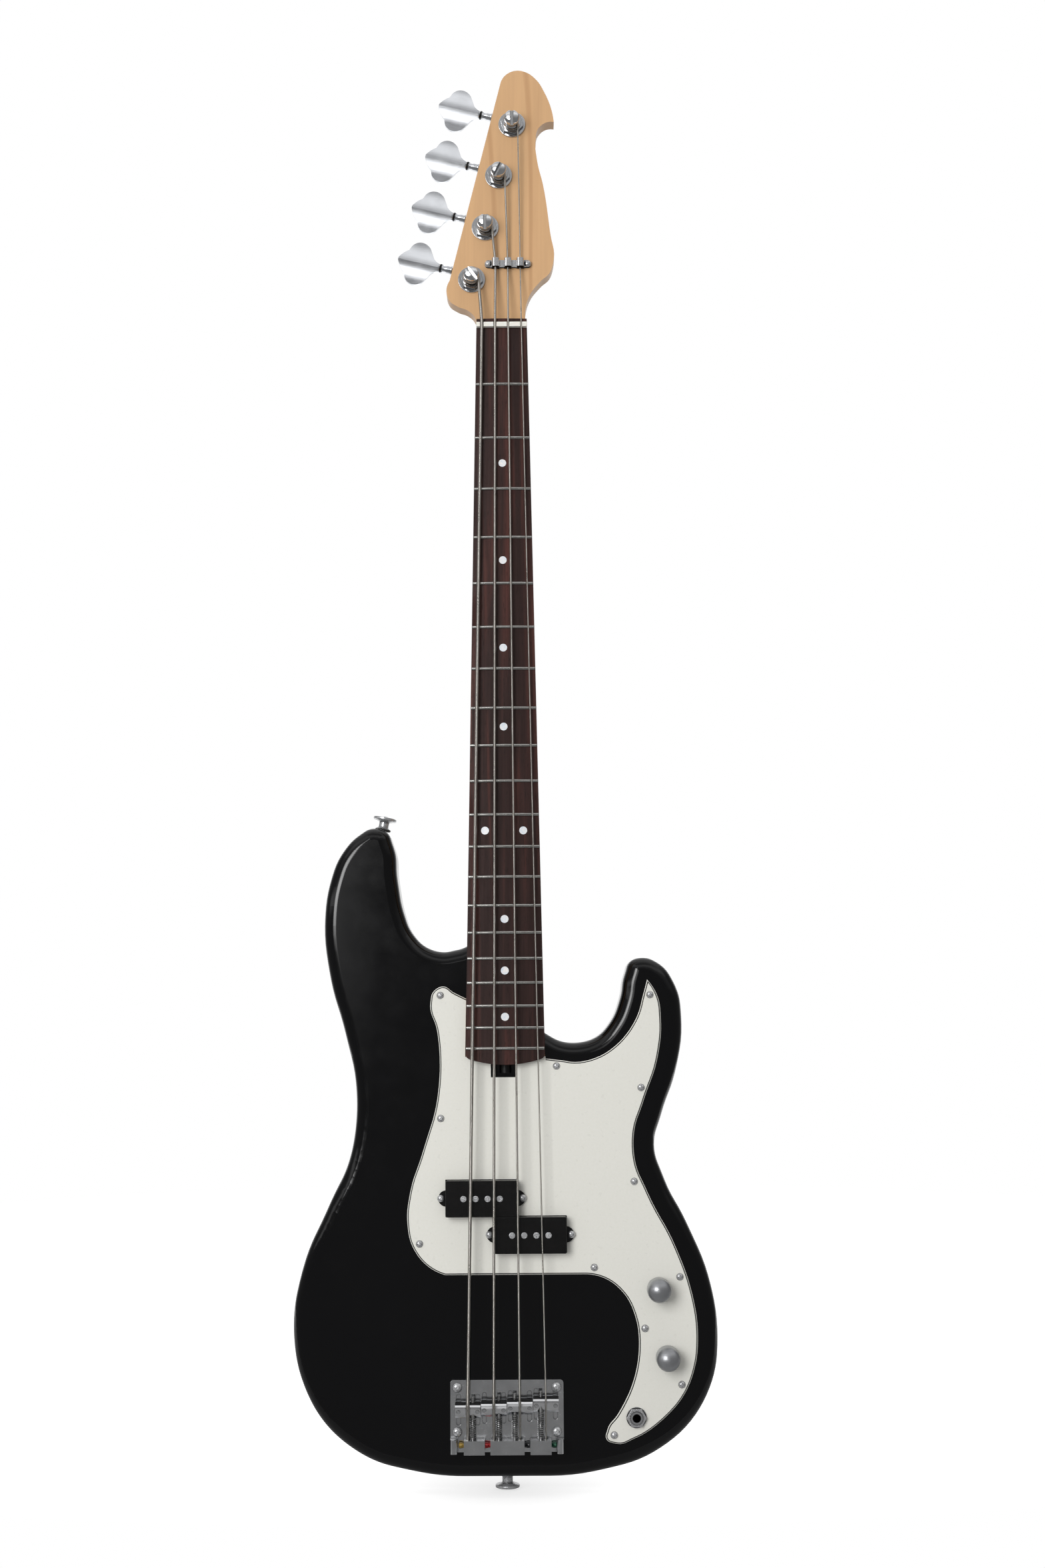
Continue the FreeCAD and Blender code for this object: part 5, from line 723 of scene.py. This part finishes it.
def lathe(bm, profile, pose):
    """A turned ring from a closed profile of radius and height in millimetres."""
    before = set(bm.verts)
    verts = [bm.verts.new((radius / 1000, 0, height / 1000)) for radius, height in profile]
    edges = [bm.edges.new(pair) for pair in zip(verts, verts[1:] + verts[:1])]
    bmesh.ops.spin(
        bm, geom=verts + edges, cent=(0, 0, 0), axis=(0, 0, 1), angle=2 * math.pi, steps=LATHE_STEPS,
        use_merge=True,
    )
    bmesh.ops.remove_doubles(bm, verts=[vert for vert in bm.verts if vert not in before], dist=0.000001)
    bmesh.ops.transform(bm, matrix=pose, verts=[vert for vert in bm.verts if vert not in before])
    bmesh.ops.recalc_face_normals(bm, faces=bm.faces)


def pose_along(place, way):
    """The pose that stands a turned form at a place, along a direction."""
    return Matrix.Translation(place) @ Vector(way).to_track_quat("Z", "X").to_matrix().to_4x4()


class BASS_OT_body(Operator):
    """Lacquered body and the plate on its back"""

    bl_idname = "bass.dress_body"
    bl_label = "Body"

    def execute(self, context):
        paint("body")
        eased("neck_plate", 0.0003)
        paint("neck_screws")
        return {"FINISHED"}


class BASS_OT_guard(Operator):
    """Laminated guard and the small screws"""

    bl_idname = "bass.dress_guard"
    bl_label = "Guard"

    def execute(self, context):
        paint("pickguard")
        paint("trim_screws", finish="screw_metal")
        return {"FINISHED"}


class BASS_OT_neck(Operator):
    """Neck, fretboard, frets, markers, nut and truss rod"""

    bl_idname = "bass.dress_neck"
    bl_label = "Neck"

    def execute(self, context):
        paint("neck", "fretboard", "frets", "fret_markers", "truss_rod", "truss_rod_nut")
        eased("nut", 0.0004)
        return {"FINISHED"}


class BASS_OT_pickups(Operator):
    """Pickup covers, bobbins and pole pieces"""

    bl_idname = "bass.dress_pickups"
    bl_label = "Pickups"

    def execute(self, context):
        paint("pickup_covers", "pickup_bobbins")
        eased("pole_pieces", 0.0004, finish="screw_metal")
        return {"FINISHED"}


class BASS_OT_controls(Operator):
    """Knobs, pots, output jack and the nuts on the guard"""

    bl_idname = "bass.dress_controls"
    bl_label = "Controls"

    def execute(self, context):
        paint("volume_knob", "tone_knob", "pot_cases")
        paint("output_jack", finish="jack_metal")
        eased("panel_nuts", 0.0002, finish="screw_metal")
        return {"FINISHED"}


class BASS_OT_leads(Operator):
    """Insulated leads and the capacitor in the cavities"""

    bl_idname = "bass.make_leads"
    bl_label = "Leads"

    def execute(self, context):
        bm = bmesh.new()
        volume, tone, jack = (
            sum(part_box(node), Vector()) / 2 for node in ("volume_knob", "tone_knob", "output_jack")
        )
        middle = sum(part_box("pickup_bobbins"), Vector()) / 2
        jack_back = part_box("output_jack")[1].y
        bass = (middle.x - COIL_ACROSS, middle.z + COIL_ALONG)
        treble = (middle.x + COIL_ACROSS, middle.z - COIL_ALONG)
        runs = [
            (bass, COIL_BACK, (treble[0] - LEAD_SIDE, treble[1]), COIL_BACK),
            ((treble[0] + COIL_END, treble[1]), COIL_BACK, (volume.x, volume.z), POT_BACK),
            ((volume.x, volume.z - LEAD_SIDE), POT_BACK, (tone.x, tone.z), POT_BACK),
            ((tone.x, tone.z - LEAD_SIDE), POT_BACK, (jack.x, jack.z), jack_back),
        ]
        for start, start_y, end, end_y in runs:
            dip = max(start_y, end_y) + LEAD_DIP
            first, last = Vector((start[0], start_y, start[1])), Vector((end[0], end_y, end[1]))
            low, far = Vector((start[0], dip, start[1])), Vector((end[0], dip, end[1]))
            route = [first, low, low.lerp(far, 0.1), low.lerp(far, 0.9), far, last]
            sweep(bm, spline_points(route, 6), context.scene.bass_wires.lead_radius, 10)
        seat = Matrix.Translation((tone.x, POT_BACK + DISC_DEPTH / 2, tone.z + LEAD_SIDE))
        disc = bmesh.ops.create_cone(
            bm, cap_ends=True, segments=32, radius1=DISC_RADIUS, radius2=DISC_RADIUS, depth=DISC_DEPTH,
            matrix=seat @ Matrix.Rotation(math.pi / 2, 4, "X"),
        )["verts"]
        rims = [edge for edge in {e for v in disc for e in v.link_edges} if edge.calc_face_angle(0) > 1]
        bmesh.ops.bevel(
            bm, geom=rims, offset=DISC_ROUND, segments=3, profile=0.5, affect="EDGES", clamp_overlap=True,
            material=-1,
        )
        bmesh.ops.recalc_face_normals(bm, faces=bm.faces)
        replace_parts(new_piece("leads", bm, "insulation", "instrument"), "wiring_harness")
        return {"FINISHED"}


class BASS_OT_bridge(Operator):
    """Bridge plate, its screws, the saddles and their adjusting screws"""

    bl_idname = "bass.dress_bridge"
    bl_label = "Bridge"

    def execute(self, context):
        eased("bridge_plate", 0.0002)
        paint("bridge_screws", finish="screw_metal")
        for name in STRINGS:
            eased("saddle_" + name, 0.0002, finish="saddle_metal")
            paint("intonation_screw_" + name)
        return {"FINISHED"}


class BASS_OT_springs(Operator):
    """Coil springs between the bridge's wall and the saddles"""

    bl_idname = "bass.make_springs"
    bl_label = "Springs"

    def execute(self, context):
        wires = context.scene.bass_wires
        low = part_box("saddle_springs")[0].z + wires.spring_wire / 2
        axes = Vector((1, 0, 0)), Vector((0, 1, 0)), Vector((0, 0, 1))
        for number, name in enumerate(STRINGS):
            screw = sum(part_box("intonation_screw_" + name), Vector()) / 2
            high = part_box("saddle_" + name)[0].z - wires.spring_wire / 2 - SPRING_GAP
            turns = SPRING_TURNS + number
            pitch = (high - low) / turns
            bm = bmesh.new()
            controls = helix(Vector((screw.x, screw.y, low)), wires.spring_radius, pitch, turns, 0, axes)
            sweep(bm, spline_points(controls, 2), wires.spring_wire / 2, 8)
            bmesh.ops.recalc_face_normals(bm, faces=bm.faces)
            spring = new_piece("spring_" + name, bm, "steel")
            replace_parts(spring, "saddle_springs")
            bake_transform(spring)
        return {"FINISHED"}


class BASS_OT_tuners(Operator):
    """Keys, worms, gears, posts, bushings and plates of the tuners, and the string retainer"""

    bl_idname = "bass.dress_tuners"
    bl_label = "Tuners"

    def execute(self, context):
        joints = {joint["name"]: joint for joint in frame["record"]["behaviour"]["joints"]}
        for name in STRINGS:
            eased("tuner_key_" + name, 0.0004, 22, finish="key_metal")
            paint("tuner_worm_" + name, "tuner_gear_" + name, "string_post_" + name)
            stem = joints["tuner_key_" + name]
            bm = bmesh.new()
            lathe(bm, KEY_RING, pose_along(stem["pos_m"], stem["axis"]))
            new_piece("key_ring_" + name, bm, "black_plastic", "key_" + name)
        paint("tuner_bushings", "tuner_screws")
        eased("tuner_washers", 0.0003)
        eased("tuner_plates", 0.0002)
        eased("string_retainer", 0.0003, finish="hook_metal")
        return {"FINISHED"}


class BASS_OT_strings(Operator):
    """Wound strings with ball ends, tails over the saddles and turns round the posts"""

    bl_idname = "bass.make_strings"
    bl_label = "Strings"

    def execute(self, context):
        for number, name in enumerate(STRINGS):
            gauge = context.scene.bass_wires.gauges[number]
            place = number - (len(STRINGS) - 1) / 2
            across, nut_across = place * SADDLE_SPACING, place * NUT_SPACING
            start = Vector((across, -PLATE_TOP - BALL_RISE, START_Z + gauge / 6))
            over = -BOARD_TOP - SADDLE_RISE - gauge / 2 + across ** 2 / CAMBER
            saddle = Vector((across, over, CREST_Z[number]))
            nut_level = -BOARD_TOP - NUT_RISE - gauge / 2 + nut_across ** 2 / CAMBER
            nut = Vector((nut_across, nut_level, NUT_Z))
            lead = (nut - saddle).normalized()
            tail = self.make_tail(name, gauge, start, saddle, lead)
            string = self.make_string(number, gauge, [saddle + lead * STRING_START, nut])
            ball = self.make_ball(number, gauge, start)
            for piece in (string, tail, ball):
                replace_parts(piece, "string_" + name)
        return {"FINISHED"}

    def make_tail(self, name, gauge, start, saddle, lead):
        """The string's end from its ball over the saddle."""
        bend = [saddle + (start - saddle).normalized() * BEND, saddle + lead * BEND]
        bm = bmesh.new()
        sweep(bm, spline_points([start, *bend, saddle + lead * TAIL_END], 10), gauge / 2 + TAIL_COVER)
        bmesh.ops.recalc_face_normals(bm, faces=bm.faces)
        tail = new_piece("string_tail_" + name, bm, "string_wire")
        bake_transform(tail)
        return tail

    def make_string(self, number, gauge, corners):
        """The string over the nut, under the retainer on all but the thickest, and round its post."""
        name = STRINGS[number]
        axes = Vector((1, 0, 0)), Vector((0, 0, 1)), Vector((0, -1, 0))
        if number:
            hook = RETAINER_ACROSS + (number - 2) * RETAINER_SPACING
            corners = [*corners, Vector((hook, -RETAINER_LEVEL - gauge / 2, RETAINER_Z))]
        post = sum(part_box("string_post_" + name), Vector()) / 2
        wind = POST_WAIST + gauge / 2
        centre = Vector((post.x, -WIND_LEVEL - gauge / 2, post.z))
        away = corners[-1] - centre
        meets = math.atan2(away.z, away.x) + math.acos(wind / math.hypot(away.x, away.z))
        touch = centre + (axes[0] * math.cos(meets) + axes[1] * math.sin(meets)) * wind
        route = corners[:1]
        for before, corner, after in zip(corners, corners[1:], corners[2:] + [touch]):
            route += [corner + (side - corner).normalized() * BEND for side in (before, after)]
        route.append(touch + (corners[-1] - touch).normalized() * POST_HOLD)
        route += helix(centre, wind, gauge + TURN_GAP, POST_TURNS[number], meets, axes)[1:]
        bm = bmesh.new()
        sweep(bm, spline_points(route, 4), gauge / 2)
        bmesh.ops.recalc_face_normals(bm, faces=bm.faces)
        return new_piece("wound_string_" + name, bm, "string_wire", "instrument")

    def make_ball(self, number, gauge, start):
        """The coloured ball end, which lies across the bridge."""
        side = -1 if number < len(STRINGS) / 2 else 1
        seat = Vector((start.x - side * (gauge / 2 + BALL_GAP), start.y, BALL_Z))
        bm = bmesh.new()
        lathe(bm, SPOOL, pose_along(seat, (side, 0, 0)))
        name = STRINGS[number]
        return new_piece("ball_end_" + name, bm, "string_wire", "instrument", "ball_" + name)


class BASS_OT_strap(Operator):
    """Strap buttons with their felts and screws"""

    bl_idname = "bass.dress_strap_buttons"
    bl_label = "Strap buttons"

    def execute(self, context):
        eased("strap_buttons", 0.0004, finish="screw_metal")
        paint("strap_button_screws")
        bm = bmesh.new()
        for mount in frame["record"]["mounts"]:
            if mount["name"].startswith("strap_button"):
                lathe(bm, FELT_PAD, pose_along(mount["pos_m"], mount["axis"]))
        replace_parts(new_piece("button_felts", bm, "felt", "instrument"), "strap_felts")
        return {"FINISHED"}


# Studio, in metres
FLOOR_BACK, FLOOR_RADIUS = 1.48, 1.6
# How far the painted shadow, a dimmer glow round the instrument, shows on the floor, and where the floor's
# painted shade in reflections starts and ends to brighten.
SHADOW_REACH = 0.11
SHINE_REACH = 0.4, 1.3
LIGHT_AIM = Vector((0, 0, 0.55))
SOFTBOXES = (
    ("left_softbox", (-1.25, -2.3, 1.0), (1.3, 1.9)),
    ("top_softbox", (0.0, -0.5, 2.7), (1.8, 0.7)),
    ("back_softbox", (0.9, 2.4, 1.3), (1.5, 1.5)),
)
LENS_PLACE = (0.01497, -1.53799, 0.33758)
# In millimetres
SENSOR_WIDTH = 36


class BASS_OT_studio(Operator):
    """Floor, softboxes, white room and lens"""

    bl_idname = "bass.make_studio"
    bl_label = "Studio"

    def execute(self, context):
        scene = context.scene
        studio = scene.bass_studio
        scene.view_settings.view_transform = "Standard"
        self.light_room(scene, studio)
        self.lay_floor()
        powers = studio.key_power, studio.top_power, studio.back_power
        for (name, place, size), power in zip(SOFTBOXES, powers):
            lamp = bpy.data.lights.new(name, "AREA")
            lamp.shape = "RECTANGLE"
            lamp.size, lamp.size_y = size
            lamp.energy = power
            holder = bpy.data.objects.new(name, lamp)
            holder.location = place
            holder.rotation_euler = (LIGHT_AIM - Vector(place)).to_track_quat("-Z", "Y").to_euler()
            holder.visible_glossy = False
            scene.collection.objects.link(holder)
        self.set_lens(scene, studio)
        return {"FINISHED"}

    def light_room(self, scene, studio):
        """White behind the instrument, dim behind the lens but for its lights, even on dull surfaces."""
        world = bpy.data.worlds.new("room")
        scene.world = world
        world.use_nodes = True
        tree = world.node_tree
        links, background = tree.links, tree.nodes["Background"]
        rays = tree.nodes.new("ShaderNodeLightPath").outputs
        way = tree.nodes.new("ShaderNodeSeparateXYZ")
        links.new(tree.nodes.new("ShaderNodeTexCoord").outputs["Generated"], way.inputs[0])

        def slope(axis, start, end, low=0.0, high=1.0):
            node = tree.nodes.new("ShaderNodeMapRange")
            node.interpolation_type = "SMOOTHSTEP"
            links.new(way.outputs[axis], node.inputs["Value"])
            for socket, amount in zip(RANGE_SOCKETS, (start, end, low, high)):
                node.inputs[socket].default_value = amount
            return node.outputs["Result"]

        def fold(operation, *values):
            result = values[0]
            for value in values[1:]:
                node = tree.nodes.new("ShaderNodeMath")
                node.operation = operation
                links.new(result, node.inputs[0])
                links.new(value, node.inputs[1])
                result = node.outputs[0]
            return result

        product, total = partial(fold, "MULTIPLY"), partial(fold, "ADD")
        veil = product(
            slope("X", -0.07, -0.14, 0.0, studio.veil), slope("X", -0.32, -0.22),
            slope("Z", -0.05, 0.08), slope("Z", 0.2, 0.12),
        )
        strip = product(
            slope("X", -0.23, -0.29, 0.0, studio.strip), slope("X", -0.6, -0.45),
            slope("Z", 0.0, 0.1), slope("Z", 0.45, 0.3),
        )
        bar = product(
            slope("Z", 0.1, 0.15, 0.0, studio.bar), slope("Z", 0.28, 0.18), slope("X", -0.02, -0.055),
        )
        shelf = product(slope("Z", 0.44, 0.62, 0.0, studio.bar / 2), slope("Z", 0.84, 0.7))
        haze = slope("Z", 0.2, 0.42, 0.0, studio.room)
        front = product(total(veil, strip, bar, shelf, haze), slope("Y", 0.0, -0.4))
        ceiling = product(slope("Z", 0.5, 0.95, 0.0, studio.ceiling), slope("Y", -0.5, 0.0))
        wall = total(slope("Y", 0.4, 0.95, studio.room, 1.0), ceiling, front)
        shiny = tree.nodes.new("ShaderNodeMix")
        mirrored = fold("MAXIMUM", rays["Is Glossy Ray"], rays["Is Transmission Ray"])
        links.new(mirrored, shiny.inputs["Factor"])
        shiny.inputs["A"].default_value = studio.fill
        links.new(wall, shiny.inputs["B"])
        shown = tree.nodes.new("ShaderNodeMix")
        links.new(rays["Is Camera Ray"], shown.inputs["Factor"])
        links.new(shiny.outputs["Result"], shown.inputs["A"])
        shown.inputs["B"].default_value = 1.0
        background.inputs["Color"].default_value = (1, 1, 1, 1)
        links.new(shown.outputs["Result"], background.inputs["Strength"])

    def lay_floor(self):
        """A pale floor that looks white, takes the instrument's shadow, and has a painted shadow: it glows
        less round the instrument, in reflections too.
        """
        bm = bmesh.new()
        centre = Vector((0, FLOOR_BACK, CAD_BOX[0].z))
        bmesh.ops.create_circle(
            bm, cap_ends=True, segments=96, radius=FLOOR_RADIUS, matrix=Matrix.Translation(centre),
        )
        mesh = bpy.data.meshes.new("floor")
        bm.to_mesh(mesh)
        bm.free()
        floor = bpy.data.objects.new("floor", mesh)
        bpy.context.scene.collection.objects.link(floor)
        paper = Finish("floor_paper", Roughness=0.9, Specular_IOR_Level=0.0)
        paper.shade("Base Color", paper.fade(paper.noise(3), rgb(150, 150, 150), rgb(154, 154, 154)))
        rays = paper.add("ShaderNodeLightPath").outputs
        paper.shader.inputs["Emission Color"].default_value = (1, 1, 1, 1)
        away = paper.add("ShaderNodeVectorMath", operation="LENGTH")
        paper.feed(away.inputs[0], paper.place)
        mirrored = paper.sum(rays["Is Glossy Ray"], rays["Is Transmission Ray"])
        # Painted shadow: the glow seen by the lens is dimmer round the instrument, and the glow seen in
        # reflections is dimmer still.
        glow = paper.span(away.outputs["Value"], 0.66, 0.92, 0.0, SHADOW_REACH)
        shine = paper.span(away.outputs["Value"], 0.06, 1.0, *SHINE_REACH)
        glow = paper.sum(rays["Is Camera Ray"], glow, "MULTIPLY")
        paper.shade("Emission Strength", paper.sum(glow, paper.sum(mirrored, shine, "MULTIPLY")))
        mesh.materials.append(paper.material)

    def set_lens(self, scene, studio):
        """A lens at the photograph's place and angle."""
        eye = bpy.data.cameras.new("lens")
        eye.lens = studio.lens
        eye.sensor_width = SENSOR_WIDTH
        eye.clip_start, eye.clip_end = 0.05, 50
        tilt, roll = studio.climb, studio.roll
        back = Vector((0, -math.cos(tilt), -math.sin(tilt)))
        up = Vector((math.sin(roll), -math.cos(roll) * math.sin(tilt), math.cos(roll) * math.cos(tilt)))
        right = up.cross(back)
        pose = Matrix((right, up, back)).transposed().to_4x4()
        pose.translation = LENS_PLACE
        holder = bpy.data.objects.new("lens", eye)
        holder.matrix_world = pose
        scene.collection.objects.link(holder)
        scene.camera = holder


STEPS = (
    BASS_OT_body, BASS_OT_guard, BASS_OT_neck, BASS_OT_pickups, BASS_OT_controls, BASS_OT_leads,
    BASS_OT_bridge, BASS_OT_springs, BASS_OT_tuners, BASS_OT_strings, BASS_OT_strap, BASS_OT_studio,
)


class BASS_PT_dressing(Panel):
    """The sizes, the colours and one button for each group of pieces."""

    bl_idname = "BASS_PT_dressing"
    bl_label = "Bass guitar"
    bl_space_type = "VIEW_3D"
    bl_region_type = "UI"
    bl_category = "Bass"

    def draw(self, context):
        for title, group in zip(("Colours", "Wires", "Studio"), GROUPS):
            box = self.layout.box()
            box.label(text=title)
            settings = getattr(context.scene, GROUPS[group])
            for name in group.__annotations__:
                box.prop(settings, name)
        for step in STEPS:
            self.layout.operator(step.bl_idname)


GROUPS = {BassLooks: "bass_looks", BassWires: "bass_wires", BassStudio: "bass_studio"}


def register():
    for group, name in GROUPS.items():
        bpy.utils.register_class(group)
        setattr(bpy.types.Scene, name, PointerProperty(type=group))
    for item in (*STEPS, BASS_PT_dressing):
        bpy.utils.register_class(item)


def unregister():
    for item in reversed((*STEPS, BASS_PT_dressing)):
        bpy.utils.unregister_class(item)
    for group, name in reversed(GROUPS.items()):
        delattr(bpy.types.Scene, name)
        bpy.utils.unregister_class(group)


def main():
    register()
    bpy.ops.bass.dress_body()
    bpy.ops.bass.dress_guard()
    bpy.ops.bass.dress_neck()
    bpy.ops.bass.dress_pickups()
    bpy.ops.bass.dress_controls()
    bpy.ops.bass.make_leads()
    bpy.ops.bass.dress_bridge()
    bpy.ops.bass.make_springs()
    bpy.ops.bass.dress_tuners()
    bpy.ops.bass.make_strings()
    bpy.ops.bass.dress_strap_buttons()
    bpy.ops.bass.make_studio()


if __name__ == "__main__":
    main()
